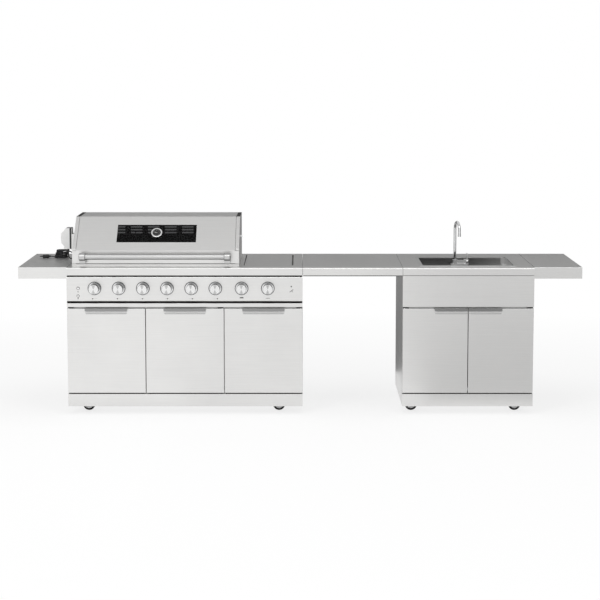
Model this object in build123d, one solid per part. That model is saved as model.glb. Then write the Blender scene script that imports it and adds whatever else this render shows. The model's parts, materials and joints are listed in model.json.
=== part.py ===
from build123d import *
import math
import os

os.makedirs("parts", exist_ok=True)

# Outdoor kitchen: a grill cabinet and a sink cabinet joined by a bridge counter, with a shelf at each end.
# Millimetres. X runs right, Y back, Z up from the floor. Depths are measured back from the shelf fronts.

# Modules from left to right
left_shelf_width = 298.0
grill_width = 1447.0
bridge_width = 614.0
sink_width = 806.0
right_shelf_width = 295.0

# Heights and depths shared by the modules
counter_height = 914.0
counter_depth = 600.0
back_overhang = 20.0
fascia_height = 47.0
fascia_reach = 19.0
shelf_height = 70.0
sheet = 2.0
seam = 1.0
edge_round = 8.0
shelf_round = 3.0
channel_round = 3.0
panel_round = 8.0
panel_front = -12.0
channel_depth = 42.0
shadow_gap = 8.0
panel_height = 155.0
rail_gap = 11.0
rail_height = 24.0
apron_gap = 2.0
plinth_bottom = 50.0
plinth_height = 77.0
service_hole_radius = 45.0
bridge_foot_width = 26.0

# Clearances
running_clearance = 0.05
seat_clearance = 0.2
face_clearance = 0.3
side_clearance = 2.0

# Doors, hinge pins and pulls
door_top_gap = 9.0
door_bottom_gap = 7.0
door_thickness = 20.0
door_gap = 4.0
door_side_inset = 1.0
door_back_gap = 6.0
hinge_inset = 10.0
hinge_setback = 7.0
hinge_pin_radius = 3.0
hinge_bush_radius = 6.0
hinge_pin_depth = 4.0
lug_width = 24.0
lug_height = 6.0
mullion_width = 24.0
mullion_depth = 26.0
grill_pull_width = 258.0
sink_pull_width = 205.0
pull_reach = 18.0
pull_lip = 16.5
pull_thickness = 2.5
pull_tuck = 12.0
pull_lean = 5.0

# Casters
caster_inset_grill = 130.0
caster_inset_sink = 80.0
caster_setback = 100.0
caster_trail = 17.0
wheel_radius = 37.5
wheel_width = 25.0
wheel_headroom = 11.7
hub_radius = 24.0
hub_recess = 3.0
tyre_round = 6.0
axle_radius = 5.0
fork_gap = 1.0
fork_leg = 2.5
fork_leg_width = 17.0
fork_width = 34.0
fork_crown = 3.0
kingpin_radius = 6.0
race_radius = 22.0
race_height = 11.0
caster_plate = 3.0
caster_plate_width = 62.0

# Control panel
knob_rise = 4.5
main_burner_count = 6
knob_pitch = 148.2
knob_reach = 50.0
knob_radius = 30.0
knob_skirt_radius = 33.0
knob_skirt = 4.0
knob_length = 44.0
knob_round = 3.0
pointer_width = 2.0
pointer_length = 13.0
pointer_groove = 0.8
stem_radius = 4.0
stem_hole_radius = 5.5
bezel_radius = 41.5
bezel_inner_radius = 36.0
bezel_height = 8.0
bezel_base = 3.0
bezel_chamfer = 4.0
button_inset = 70.0
button_radius = 8.0
button_reach = 5.0
button_length = 18.0
button_round = 0.8
switch_barrel_radius = 11.0
switch_barrel_length = 30.0

# Gas train
manifold_side = 25.0
manifold_wall = 2.5
manifold_setback = 22.0
manifold_drop = 19.0
valve_width = 32.0
valve_setback = 6.0
valve_depth = 51.0
valve_rise = 18.0
stem_end_gap = 5.0
orifice_radius = 5.0
orifice_length = 15.0
inlet_radius = 10.65
inlet_length = 18.0
inlet_inset = 45.0
supply_pipe_radius = 8.0
manifold_bracket_width = 24.0

# Fixed hood ends and rear vent panel
hood_left_inset = 28.0
hood_width = 1027.0
hood_front = 38.0
hood_back_inset = 132.0
hood_rise = 19.0
band_height = 80.0
slope_rise = 190.0
slope_depth = 180.0
end_panel_width = 22.0
end_panel_setback = 10.0
lid_hinge_inset = 18.0
lid_hinge_rise = 36.0
lid_pin_radius = 6.0
lid_boss_radius = 14.0
vent_panel_gap = 15.0
vent_panel_inset = 8.0
vent_columns = 8
vent_rows = 3
vent_pitch = 110.0
vent_row_pitch = 18.5
vent_length = 74.0
vent_slot = 9.0
vent_drop = 113.0

# Firebox and what lies in it
firebox_setback = 24.0
firebox_back_inset = 6.0
firebox_drop = 198.0
firebox_rise = 17.0
firebox_flange = 10.0
lip_reach = 4.0
lip_depth = 12.0
cutout_clearance = 2.0
ledge_width = 12.0
tamer_drop = 74.0
grate_drop = 30.0
burner_radius = 14.0
burner_wall = 2.0
burner_mouth = 8.0
burner_peg = 30.0
port_radius = 1.5
port_pitch = 24.0
tamer_width = 100.0
tamer_rise = 34.0
grate_count = 3
grate_gap = 3.0
grate_bar = 8.0
grate_pitch = 20.0
vent_panel_setback = 5.0
rear_burner_width = 560.0
rear_burner_depth = 18.0
rear_burner_height = 68.0
rear_burner_rise = 9.0
rear_burner_rim = 10.0
rear_burner_recess = 3.0

# Lid
window_width = 492.0
window_height = 98.0
window_rise = 45.0
glass_thickness = 4.0
glass_lap = 10.0
gauge_radius = 34.5
gauge_reach = 12.0
gauge_face_recess = 3.0
gauge_rim = 8.0
gauge_stem_radius = 6.0
gauge_stem_length = 40.0
handle_rise = 47.0
handle_radius = 17.0
handle_bore_radius = 14.5
handle_end_inset = 51.0
handle_standoff = 45.0
ferrule_radius = 24.0
ferrule_length = 38.0
ferrule_chamfer = 2.5
handle_foot_drop = 42.0
handle_foot_height = 26.0
hinge_plate_clearance = 16.0
hinge_plate_reach = 320.0

# Rotisserie
spit_setback = 192.0
spit_drop = 125.0
spit_radius = 5.0
spit_overhang = 14.0
spit_fork_spacing = 290.0
spit_fork_hub_radius = 13.0
spit_fork_hub_length = 22.0
spit_prong_radius = 2.5
spit_prong_spread = 28.0
spit_prong_length = 85.0
motor_height = 130.0
motor_drop = 77.0
motor_width = 54.0
motor_depth = 70.0
motor_shoulder_width = 30.0
motor_shoulder_height = 33.0
motor_waist_width = 18.0
motor_waist_height = 22.0
motor_base_height = 18.0
motor_plate = 9.0
motor_standoff = 31.0
bracket_drop = 86.0
bracket_rise = 17.0
bracket_depth = 60.0
bracket_sheet = 3.0
gland_radius = 8.0
gland_tip_radius = 5.5
gland_length = 25.0
gland_setback = 20.0

# Side burner
burner_lid_gap = 32.0
burner_lid_inset = 67.0
burner_lid_front = 88.0
burner_lid_back = 58.0
burner_lid_left_gap = 5.5
burner_lid_right_gap = 9.0
burner_lid_end_gap = 2.0
burner_lid_skirt = 10.0
burner_pan_depth = 92.0
burner_pan_lip = 14.0
burner_ring_radius = 62.0
burner_ring_height = 26.0
burner_ring_bore = 24.0
burner_cap_radius = 48.0
burner_cap_height = 8.0
trivet_bar = 8.0
trivet_span = 230.0
trivet_height = 14.0

# Sink and faucet
sink_left_inset = 130.0
sink_right_inset = 114.0
sink_front_inset = 71.0
sink_back_inset = 170.0
sink_flange = 23.0
sink_flange_thickness = 1.5
sink_bowl_drop = 200.0
sink_ledge_depth = 85.0
sink_ledge_drop = 40.0
sink_corner = 12.0
drain_radius = 43.0
drain_flange_radius = 55.0
drain_body_length = 36.0
drain_tail_radius = 19.0
drain_tail_length = 70.0
drain_hole_radius = 5.0
drain_hole_ring = 24.0
drain_hole_count = 8
faucet_offset = -17.0
faucet_base_width = 118.0
faucet_base_depth = 36.0
faucet_base_height = 9.0
faucet_setback = 40.0
post_offset = -31.0
lever_offset = 40.0
pedestal_radius = 17.0
pedestal_height = 24.0
spigot_radius = 6.5
spigot_length = 18.0
spout_radius = 8.5
spout_height = 287.0
spout_bend = 48.0
spout_drop = 24.0
aerator_radius = 9.5
aerator_length = 15.0
spout_swing = 10.0
valve_block_width = 16.0
valve_block_height = 26.0
faucet_body_height = 20.0
lever_radius = 8.0
lever_hub_width = 14.0
lever_spindle_radius = 4.0
lever_length = 48.0
lever_thickness = 7.0

# Power cord: a tied hank on the left shelf, a short lead to the plug and one up to the motor
cord_radius = 3.5
cord_lift = 0.3
hank_pitch = 8.4
hank_inner_radius = 21.0
hank_run = 28.0
hank_layers = 6
hank_lean = 3.0
hank_x = -1544.0
hank_depth = 445.0
least_cord_gap = 0.4
gap_step = 3.0
bend_share = 0.45
plug_length = 36.0
plug_width = 28.0
plug_thickness = 19.0
plug_round = 6.0
plug_pin_radius = 2.4
plug_pin_length = 19.0
plug_pin_spacing = 19.0
plug_tail_radius = 8.0
plug_tail_tip = 5.0
plug_tail_length = 14.0

# Places worked out from the sizes above
total_width = left_shelf_width + grill_width + bridge_width + sink_width + right_shelf_width
left_end = -total_width / 2
grill_left = left_end + left_shelf_width
grill_right = grill_left + grill_width
sink_left = grill_right + bridge_width
sink_right = sink_left + sink_width
right_end = sink_right + right_shelf_width
overall_depth = counter_depth + knob_reach - panel_front
shelf_front_y = overall_depth / 2 - counter_depth
cabinet_depth = counter_depth - back_overhang
back_sheet = (cabinet_depth - sheet, cabinet_depth)
fascia_bottom = counter_height - fascia_height
panel_back = panel_front + sheet
channel_back = panel_front + channel_depth
panel_top = fascia_bottom - shadow_gap
panel_bottom = panel_top - panel_height
rail_top = panel_bottom - rail_gap
rail_bottom = rail_top - rail_height
plinth_top = plinth_bottom + plinth_height
door_top = rail_bottom - door_top_gap
door_bottom = plinth_top + door_bottom_gap
door_back = panel_front + door_thickness
frame_front = door_back + door_back_gap
hinge_line = panel_front + hinge_setback
crown_top = 2 * wheel_radius + wheel_headroom + fork_crown
race_bottom = crown_top + face_clearance
race_top = race_bottom + race_height
floor_bottom = race_top + caster_plate
floor_top = floor_bottom + sheet
hood_left = grill_left + hood_left_inset
hood_right = hood_left + hood_width
hood_middle = (hood_left + hood_right) / 2
hood_back = counter_depth - hood_back_inset
hood_bottom = counter_height + hood_rise
hood_bend = hood_bottom + band_height
hood_top = hood_bend + slope_rise
hood_crest = hood_front + slope_depth
lid_hinge_depth = hood_back - lid_hinge_inset
lid_hinge_height = counter_height + lid_hinge_rise
firebox_top = counter_height + firebox_rise
burner_lid_x = (hood_right + burner_lid_gap, grill_right - burner_lid_inset)
burner_lid_depth = (burner_lid_front, counter_depth - burner_lid_back)
knob_height = (panel_top + panel_bottom) / 2 + knob_rise
first_knob = hood_middle - (main_burner_count - 1) / 2 * knob_pitch
main_knobs = [first_knob + i * knob_pitch for i in range(main_burner_count)]
side_knob = (burner_lid_x[0] + burner_lid_x[1]) / 2
rear_knob = (main_knobs[-1] + side_knob) / 2
knob_centres = main_knobs + [rear_knob, side_knob]
inlet_x = side_knob + valve_width - inlet_inset
inlet_height = knob_height - manifold_drop - manifold_side / 2
spit_depth = hood_front + spit_setback
spit_height = hood_top - spit_drop
sink_x = (sink_left + sink_left_inset, sink_right - sink_right_inset)
sink_depth = (sink_front_inset, counter_depth - sink_back_inset)
bowl_depth = (sink_depth[0], sink_depth[1] - sink_ledge_depth)
drain_x = (sink_x[0] + sink_x[1]) / 2
drain_depth = (bowl_depth[0] + bowl_depth[1]) / 2
standing = (Align.CENTER, Align.CENTER, Align.MIN)


def y_at(depth):
    return shelf_front_y + depth


def point(place):
    return Vector(place[0], y_at(place[1]), place[2])


def grown(span, amount):
    return (span[0] - amount, span[1] + amount)


def middle_of(span):
    return (span[0] + span[1]) / 2


def centred(middle, width):
    return (middle - width / 2, middle + width / 2)


def block(x, depth, z):
    corner = Pos(middle_of(x), y_at(middle_of(depth)), middle_of(z))
    return corner * Box(x[1] - x[0], depth[1] - depth[0], z[1] - z[0])


def rod(start, end, radius):
    foot = point(start)
    line = point(end) - foot
    return Plane(foot, z_dir=line) * Cylinder(radius, line.length, align=standing)


def rod_along_x(x, depth, z, radius):
    return rod((x[0], depth, z), (x[1], depth, z), radius)


def rod_along_depth(x, depth, z, radius):
    return rod((x, depth[0], z), (x, depth[1], z), radius)


def rod_upright(x, depth, z, radius):
    return rod((x, depth, z[0]), (x, depth, z[1]), radius)


def side_face(outline, x):
    return make_face(Polyline(*[(x, y_at(depth), z) for depth, z in outline], close=True))


def side_profile(outline, x):
    return extrude(side_face(outline, x[0]), amount=x[1] - x[0], dir=(1, 0, 0))


def front_edges(solid):
    return solid.faces().sort_by(Axis.Y)[0].edges()


def rolled_block(x, depth, z, radius):
    solid = block(x, depth, z)
    return fillet(front_edges(solid).filter_by(Axis.X), radius)


def rounded_block(x, depth, z, radius):
    return fillet(block(x, depth, z).edges().filter_by(Axis.Z), radius)


def write(node, *pieces):
    solids = [solid for piece in pieces for solid in piece.solids()]
    whole = solids[0] if len(solids) == 1 else Compound(children=solids)
    export_step(whole, f"parts/{node}.step")


# Cabinets: side and back panels, base pan, front channels and door posts


def cabinet_panels(left, right):
    side = [(frame_front, plinth_top), (cabinet_depth, plinth_top), (cabinet_depth, fascia_bottom),
            (panel_back, fascia_bottom), (panel_back, rail_bottom), (frame_front, rail_bottom)]
    back = block((left + sheet, right - sheet), back_sheet, (plinth_top, fascia_bottom))
    return side_profile(side, (left, left + sheet)), side_profile(side, (right - sheet, right)), back


def base_pan(left, right, hinge_places):
    inside = (left + sheet, right - sheet)
    depth = (panel_back, cabinet_depth)
    lug_z = (plinth_top - lug_height, plinth_top)
    pan = block((left, right), depth, (plinth_bottom, plinth_top))
    pan -= block(inside, grown(depth, -sheet), (plinth_bottom, floor_bottom))
    pan -= block(inside, grown(depth, -sheet), (floor_top, plinth_top))
    for x in hinge_places:
        lug_x = (max(x - lug_width / 2, left), min(x + lug_width / 2, right))
        pan += block(lug_x, (panel_back, hinge_line + lug_width / 2), lug_z)
        pan -= rod_upright(x, hinge_line, lug_z, hinge_pin_radius + running_clearance)
    return pan


def front_channel(left, right, low, high, radius):
    behind = (panel_back, channel_back)
    channel = rolled_block((left, right), (panel_front, channel_back), (low, high), radius)
    channel -= rolled_block((left, right), behind, (low + sheet, high - sheet), radius - sheet)
    for end in ((left, left + sheet), (right - sheet, right)):
        channel -= block(end, behind, (low, high))
    return channel


def with_hinge_holes(channel, low, hinge_places):
    for x in hinge_places:
        channel -= rod_upright(x, hinge_line, (low, low + sheet), hinge_pin_radius + running_clearance)
    return channel


def mullion(x):
    span = centred(x, mullion_width)
    depth = (frame_front, frame_front + mullion_depth)
    z = (floor_top, rail_bottom)
    return block(span, depth, z) - block(grown(span, -sheet), (depth[0] + sheet, depth[1]), z)


# Doors: a folded tray with a liner, hinge pins with bushes and a pull over the top edge


def door_spans(left, right, count):
    width = (right - left - 2 * door_side_inset - (count - 1) * door_gap) / count
    starts = [left + door_side_inset + i * (width + door_gap) for i in range(count)]
    return [(start, start + width) for start in starts]


def hinge_place(span, on_left):
    return span[0] + hinge_inset if on_left else span[1] - hinge_inset


def pull(x):
    top = door_top + pull_thickness
    tip = panel_front - pull_reach
    low = top - pull_lip
    back = panel_front + pull_tuck
    section = [(back, door_top), (back, top), (tip, top), (tip + pull_lean, low),
               (tip + pull_lean + pull_thickness, low), (tip + pull_thickness, door_top)]
    return side_profile(section, x)


def door(span, hinge_on_left, pull_x):
    z = (door_bottom, door_top)
    inner = grown(span, -sheet)
    tray = block(span, (panel_front, door_back), z)
    tray = fillet(tray.faces().sort_by(Axis.Y)[0].edges(), sheet)
    tray -= block(inner, (panel_back, door_back), grown(z, -sheet))
    x = hinge_place(span, hinge_on_left)
    for bush_z in ((plinth_top + face_clearance, door_bottom), (door_top, rail_bottom - face_clearance)):
        tray += rod_upright(x, hinge_line, bush_z, hinge_bush_radius)
    for pin_z in ((plinth_top - hinge_pin_depth, door_bottom + sheet),
                  (door_top - sheet, rail_bottom + hinge_pin_depth)):
        tray += rod_upright(x, hinge_line, pin_z, hinge_pin_radius)
    liner = block(inner, (door_back - sheet, door_back), grown(z, -sheet))
    return tray, liner, pull(pull_x)


grill_doors = door_spans(grill_left, grill_right, 3)
grill_hinge_sides = {"left": True, "middle": False, "right": False}
grill_hinges = [hinge_place(span, side) for span, side in zip(grill_doors, grill_hinge_sides.values())]
sink_doors = door_spans(sink_left, sink_right, 2)
sink_hinges = [hinge_place(sink_doors[0], True), hinge_place(sink_doors[1], False)]
door_seams = [middle_of((grill_doors[i][1], grill_doors[i + 1][0])) for i in range(2)]
grill_rail = front_channel(grill_left, grill_right, rail_bottom, rail_top, channel_round)
apron = front_channel(sink_left, sink_right, rail_bottom, fascia_bottom - apron_gap, channel_round)
left_side, right_side, grill_back = cabinet_panels(grill_left, grill_right)
grill_back -= rod_along_depth(inlet_x, back_sheet, inlet_height, supply_pipe_radius + seat_clearance)
write("grill_cabinet_panels", left_side, right_side, grill_back)
write("sink_cabinet_panels", *cabinet_panels(sink_left, sink_right))
sink_pan = base_pan(sink_left, sink_right, sink_hinges)
sink_pan -= rod_upright(drain_x, drain_depth, (floor_bottom, floor_top), service_hole_radius)
write("base_pans", base_pan(grill_left, grill_right, grill_hinges), sink_pan)
grill_rail = with_hinge_holes(grill_rail, rail_bottom, grill_hinges)
write("grill_face_frame", grill_rail, *map(mullion, door_seams))
write("sink_apron", with_hinge_holes(apron, rail_bottom, sink_hinges))
for span, (name, on_left) in zip(grill_doors, grill_hinge_sides.items()):
    write(f"grill_door_{name}", *door(span, on_left, centred(middle_of(span), grill_pull_width)))
left_pull = (sink_doors[0][1] - sink_pull_width, sink_doors[0][1])
right_pull = (sink_doors[1][0], sink_doors[1][0] + sink_pull_width)
write("sink_door_left", *door(sink_doors[0], True, left_pull))
write("sink_door_right", *door(sink_doors[1], False, right_pull))


# Casters: the front ones swivel and the rear ones are rigid


def wheel(x, depth):
    half = wheel_width / 2
    tread = [(axle_radius + running_clearance, half - hub_recess), (hub_radius, half - hub_recess),
             (hub_radius, half), (wheel_radius - tyre_round, half), (wheel_radius, half - tyre_round)]
    outline = tread + [(radius, -across) for radius, across in reversed(tread)]
    face = make_face(Polyline(*outline, close=True))
    return Pos(x, y_at(depth), wheel_radius) * revolve(face, Axis.Y)


def fork_legs(x, depth, wheel_x):
    inner = wheel_width / 2 + fork_gap
    outer = inner + fork_leg
    crown_x = (min(x, wheel_x) - fork_width / 2, max(x, wheel_x) + fork_width / 2)
    leg_z = (wheel_radius - fork_leg_width / 2, crown_top)
    fork = block(crown_x, (depth - outer, depth + outer), (crown_top - fork_crown, crown_top))
    fork += block(centred(wheel_x, fork_leg_width), (depth - outer, depth - inner), leg_z)
    fork += block(centred(wheel_x, fork_leg_width), (depth + inner, depth + outer), leg_z)
    return fork + rod_along_depth(wheel_x, (depth - outer, depth + outer), wheel_radius, axle_radius)


def swivel_fork(x, depth):
    kingpin = rod_upright(x, depth, (crown_top, race_top), kingpin_radius)
    return fork_legs(x, depth, x - caster_trail) + kingpin


def caster_top_plate(x, depth):
    plate_depth = centred(depth, caster_plate_width)
    return block(centred(x, caster_plate_width), plate_depth, (race_top, floor_bottom))


def swivel_plate(x, depth):
    race = rod_upright(x, depth, (race_bottom, race_top), race_radius)
    race -= rod_upright(x, depth, (race_bottom, race_top), kingpin_radius + running_clearance)
    return caster_top_plate(x, depth) + race


def rigid_caster(x, depth):
    neck_depth = centred(depth, wheel_width + 2 * fork_gap + 2 * fork_leg)
    neck = block(centred(x, fork_width), neck_depth, (crown_top, race_top))
    return caster_top_plate(x, depth) + neck + fork_legs(x, depth, x)


caster_places = {
    "grill_left": grill_left + caster_inset_grill,
    "grill_right": grill_right - caster_inset_grill,
    "sink_left": sink_left + caster_inset_sink,
    "sink_right": sink_right - caster_inset_sink,
}
rear_caster_depth = cabinet_depth - caster_setback
caster_mounts = []
for place, x in caster_places.items():
    caster_mounts += [swivel_plate(x, caster_setback), rigid_caster(x, rear_caster_depth)]
    write(f"caster_fork_{place}", swivel_fork(x, caster_setback))
    write(f"front_wheel_{place}", wheel(x - caster_trail, caster_setback))
    write(f"rear_wheel_{place}", wheel(x, rear_caster_depth))
write("caster_mounts", *caster_mounts)


# Counters and shelves: folded sheet tops


def nosed_block(x, depth, z, radius):
    solid = block(x, depth, z)
    return fillet(front_edges(solid).filter_by(Axis.X).sort_by(Axis.Z)[-1], radius)


def sheet_top(x, depth, low, radius):
    top = nosed_block(x, depth, (low, counter_height), radius)
    hollow_z = (low, counter_height - sheet)
    return top - nosed_block(grown(x, -sheet), grown(depth, -sheet), hollow_z, radius - sheet)


def counter(left, right):
    x = (left + seam, right - seam)
    return sheet_top(x, (-fascia_reach, counter_depth), fascia_bottom, edge_round)


def shelf(left, right):
    low = counter_height - shelf_height
    rib_depth = centred(counter_depth / 2, sheet)
    rib = block((left, right), rib_depth, (low, counter_height))
    return sheet_top((left, right), (0, counter_depth), low, shelf_round) + rib


bridge = counter(grill_right, sink_left)
for foot_x in ((grill_right, grill_right + bridge_foot_width), (sink_left - bridge_foot_width, sink_left)):
    bridge += block(foot_x, (0, cabinet_depth), (fascia_bottom - sheet, fascia_bottom))
write("bridge_counter", bridge)
write("side_shelves", shelf(left_end, grill_left), shelf(sink_right, right_end))

fire_x = grown((hood_left, hood_right), -end_panel_width - side_clearance)
fire_depth = (hood_front + firebox_setback, hood_back - firebox_back_inset)
counter_skin = (fascia_bottom, counter_height)
well_x = (burner_lid_x[0] - burner_lid_left_gap, burner_lid_x[1] + burner_lid_right_gap)
well_depth = grown(burner_lid_depth, burner_lid_end_gap)
fire_cutout = block(grown(fire_x, cutout_clearance), grown(fire_depth, cutout_clearance), counter_skin)
well_cutout = block(well_x, well_depth, counter_skin)
write("grill_counter", counter(grill_left, grill_right) - fire_cutout - well_cutout)

sink_margin = sheet + cutout_clearance
sink_cutout = block(grown(sink_x, sink_margin), grown(sink_depth, sink_margin), counter_skin)
write("sink_counter", counter(sink_left, sink_right) - sink_cutout)


# Control panel, bezels, knobs and light button

button_x = grill_left + button_inset
barrel_depth = (panel_front, panel_front + switch_barrel_length)
panel = front_channel(grill_left, grill_right, panel_bottom, panel_top, panel_round)
panel += rod_along_depth(button_x, barrel_depth, knob_height, switch_barrel_radius)
panel -= rod_along_depth(button_x, barrel_depth, knob_height, button_radius + running_clearance)
for x in knob_centres:
    panel -= rod_along_depth(x, (panel_front, panel_back), knob_height, stem_hole_radius)
write("control_panel", panel)

valve_front = panel_back + valve_setback
valve_back = valve_front + valve_depth


def bezel(x):
    face = panel_front - bezel_height
    ring = rod_along_depth(x, (panel_front, face), knob_height, bezel_radius)
    ring = chamfer(front_edges(ring), bezel_chamfer)
    ring -= rod_along_depth(x, (panel_front - bezel_base, face), knob_height, bezel_inner_radius)
    return ring - rod_along_depth(x, (panel_front, face), knob_height, stem_hole_radius)


def knob(x):
    face = panel_front - knob_reach
    back = face + knob_length
    cap = rod_along_depth(x, (back, face), knob_height, knob_radius)
    cap = fillet(front_edges(cap), knob_round)
    cap += rod_along_depth(x, (back, back - knob_skirt), knob_height, knob_skirt_radius)
    cap += rod_along_depth(x, (back, valve_back - manifold_wall - stem_end_gap), knob_height, stem_radius)
    tip = knob_height + knob_radius - knob_round
    pointer_z = (tip - pointer_length, tip)
    return cap - block(centred(x, pointer_width), (face, face + pointer_groove), pointer_z)


write("knob_bezels", *map(bezel, knob_centres))
for i, x in enumerate(knob_centres):
    write(f"knob_{i + 1}", knob(x))

button_face = panel_front - button_reach
button = rod_along_depth(button_x, (button_face + button_length, button_face), knob_height, button_radius)
write("light_button", fillet(front_edges(button), button_round))


# Gas manifold with its valves

manifold_x = (main_knobs[0] - valve_width, side_knob + valve_width)
manifold_depth = (panel_front + manifold_setback, panel_front + manifold_setback + manifold_side)
manifold_top = knob_height - manifold_drop
manifold_z = (manifold_top - manifold_side, manifold_top)
manifold = block(manifold_x, manifold_depth, manifold_z)
manifold -= block(grown(manifold_x, -manifold_wall), grown(manifold_depth, -manifold_wall),
                  grown(manifold_z, -manifold_wall))
inlet_end = cabinet_depth + inlet_length
manifold += rod_along_depth(inlet_x, (manifold_depth[1], inlet_end), inlet_height, supply_pipe_radius)
manifold += rod_along_depth(inlet_x, (cabinet_depth, inlet_end), inlet_height, inlet_radius)
bore_depth = (manifold_depth[1] - manifold_wall, inlet_end)
manifold -= rod_along_depth(inlet_x, bore_depth, inlet_height, supply_pipe_radius - manifold_wall)
for x in (first_knob + knob_pitch / 2, main_knobs[-1] - knob_pitch / 2):
    bracket_span = (manifold_depth[1], fire_depth[0])
    manifold += block(centred(x, manifold_bracket_width), bracket_span, grown(manifold_z, -manifold_wall))


def valve(x):
    body_z = (manifold_top, knob_height + valve_rise)
    body = block(centred(x, valve_width), (valve_front, valve_back), body_z)
    body -= rod_along_depth(x, (valve_front, valve_back - manifold_wall), knob_height,
                            stem_radius + running_clearance)
    return body + rod_along_depth(x, (valve_back, valve_back + orifice_length), knob_height, orifice_radius)


write("gas_manifold", manifold, *map(valve, knob_centres))


# Firebox, burners, flame tamers and grates

fire_inner_x = grown(fire_x, -sheet)
fire_inner_depth = grown(fire_depth, -sheet)
firebox_bottom = counter_height - firebox_drop
tamer_ledge = counter_height - tamer_drop
grate_ledge = counter_height - grate_drop
lip_front = hood_front - lip_reach
lip_z = (counter_height, firebox_top - sheet)
firebox = block(fire_x, fire_depth, (firebox_bottom, firebox_top))
firebox += block(grown(fire_x, firebox_flange), grown(fire_depth, firebox_flange),
                 (counter_height, counter_height + sheet))
firebox += block((hood_left, hood_right), (lip_front, lip_front + lip_depth), lip_z)
firebox += block(fire_x, (lip_front + lip_depth, fire_depth[0]), (lip_z[1] - sheet, lip_z[1]))
firebox -= block(fire_inner_x, fire_inner_depth, (firebox_bottom + sheet, firebox_top))
for height in (tamer_ledge, grate_ledge):
    front_ledge = (fire_inner_depth[0], fire_inner_depth[0] + ledge_width)
    back_ledge = (fire_inner_depth[1] - ledge_width, fire_inner_depth[1])
    firebox += block(fire_inner_x, front_ledge, (height - sheet, height))
    firebox += block(fire_inner_x, back_ledge, (height - sheet, height))
for x in main_knobs:
    peg_depth = (fire_inner_depth[1] - burner_peg, fire_inner_depth[1])
    front_wall = (fire_depth[0], fire_inner_depth[0])
    firebox -= rod_along_depth(x, front_wall, knob_height, burner_radius + seat_clearance)
    firebox += rod_along_depth(x, peg_depth, knob_height, burner_radius - burner_wall - seat_clearance)
write("firebox", firebox)

vent_depth = (fire_depth[1] - vent_panel_setback, fire_depth[1] - vent_panel_setback + sheet)


def burner_tube(x):
    depth = (fire_depth[0] - burner_mouth, fire_inner_depth[1] - seat_clearance)
    tube = rod_along_depth(x, depth, knob_height, burner_radius)
    tube -= rod_along_depth(x, depth, knob_height, burner_radius - burner_wall)
    first_port = fire_inner_depth[0] + burner_peg
    port_z = (knob_height, knob_height + 2 * burner_radius)
    for i in range(int((depth[1] - burner_peg - first_port) / port_pitch) + 1):
        tube -= rod_upright(x, first_port + i * port_pitch, port_z, port_radius)
    return tube


def rear_burner():
    x = centred(hood_middle, rear_burner_width)
    front = vent_depth[0] - rear_burner_depth
    z = (firebox_top + rear_burner_rise, firebox_top + rear_burner_rise + rear_burner_height)
    recess = (front, front + rear_burner_recess)
    face = block(grown(x, -rear_burner_rim), recess, grown(z, -rear_burner_rim))
    return block(x, (front, vent_depth[0]), z) - face


def flame_tamer(x):
    half = tamer_width / 2
    apex = tamer_ledge + tamer_rise
    depth = grown(fire_inner_depth, -side_clearance)
    outline = [(-half, tamer_ledge), (-half + sheet, tamer_ledge), (0, apex - sheet),
               (half - sheet, tamer_ledge), (half, tamer_ledge), (0, apex)]
    section = Polyline(*[(x + across, y_at(depth[0]), z) for across, z in outline], close=True)
    return extrude(make_face(section), amount=depth[1] - depth[0], dir=(0, 1, 0))


def grate(left, width):
    depth = grown(fire_inner_depth, -side_clearance)
    z = (grate_ledge, grate_ledge + grate_bar)
    count = int((width - grate_bar) / grate_pitch)
    step = (width - grate_bar) / count
    crossings = [depth[0], middle_of(depth) - grate_bar / 2, depth[1] - grate_bar]
    crossbars = [block((left, left + width), (start, start + grate_bar), z) for start in crossings]
    starts = [left + i * step for i in range(count + 1)]
    return crossbars[0] + crossbars[1:] + [block((start, start + grate_bar), depth, z) for start in starts]


grate_room = fire_inner_x[1] - fire_inner_x[0] - 2 * side_clearance
grate_width = (grate_room - (grate_count - 1) * grate_gap) / grate_count
grate_lefts = [fire_inner_x[0] + side_clearance + i * (grate_width + grate_gap) for i in range(grate_count)]
write("gas_burners", *map(burner_tube, main_knobs), rear_burner())
write("flame_tamers", *map(flame_tamer, main_knobs))
write("cooking_grates", *[grate(left, grate_width) for left in grate_lefts])


# Fixed hood ends and the slotted rear panel

slope_lean = slope_depth / slope_rise


def end_panel(x, outer_x):
    front = hood_front + end_panel_setback
    low = counter_height + sheet
    outline = [(front, low), (front, hood_bend + end_panel_setback / slope_lean), (hood_crest, hood_top),
               (hood_back, hood_top), (hood_back, low)]
    hollow = offset(side_face(outline, x[0]), -sheet, kind=Kind.INTERSECTION)
    panel = extrude(side_face(outline, x[0]), amount=x[1] - x[0], dir=(1, 0, 0))
    panel -= extrude(hollow, amount=x[1] - x[0], dir=(1, 0, 0))
    panel += side_profile(outline, outer_x)
    panel += rod_along_x(x, lid_hinge_depth, lid_hinge_height, lid_boss_radius)
    panel -= rod_along_x(x, lid_hinge_depth, lid_hinge_height, lid_pin_radius + running_clearance)
    return panel - rod_along_x(outer_x, spit_depth, spit_height, spit_radius + running_clearance)


def vent_panel():
    x = grown(fire_x, -vent_panel_inset)
    panel = block(x, vent_depth, (firebox_top, hood_top - vent_panel_gap))
    panel += block(x, (vent_depth[0], fire_depth[1]), (firebox_top, firebox_top + sheet))
    for column in range(vent_columns):
        slot_x = centred(hood_middle + (column - (vent_columns - 1) / 2) * vent_pitch, vent_length)
        for row in range(vent_rows):
            height = hood_top - vent_drop + (row - (vent_rows - 1) / 2) * vent_row_pitch
            panel -= block(slot_x, vent_depth, centred(height, vent_slot))
    return panel


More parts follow.
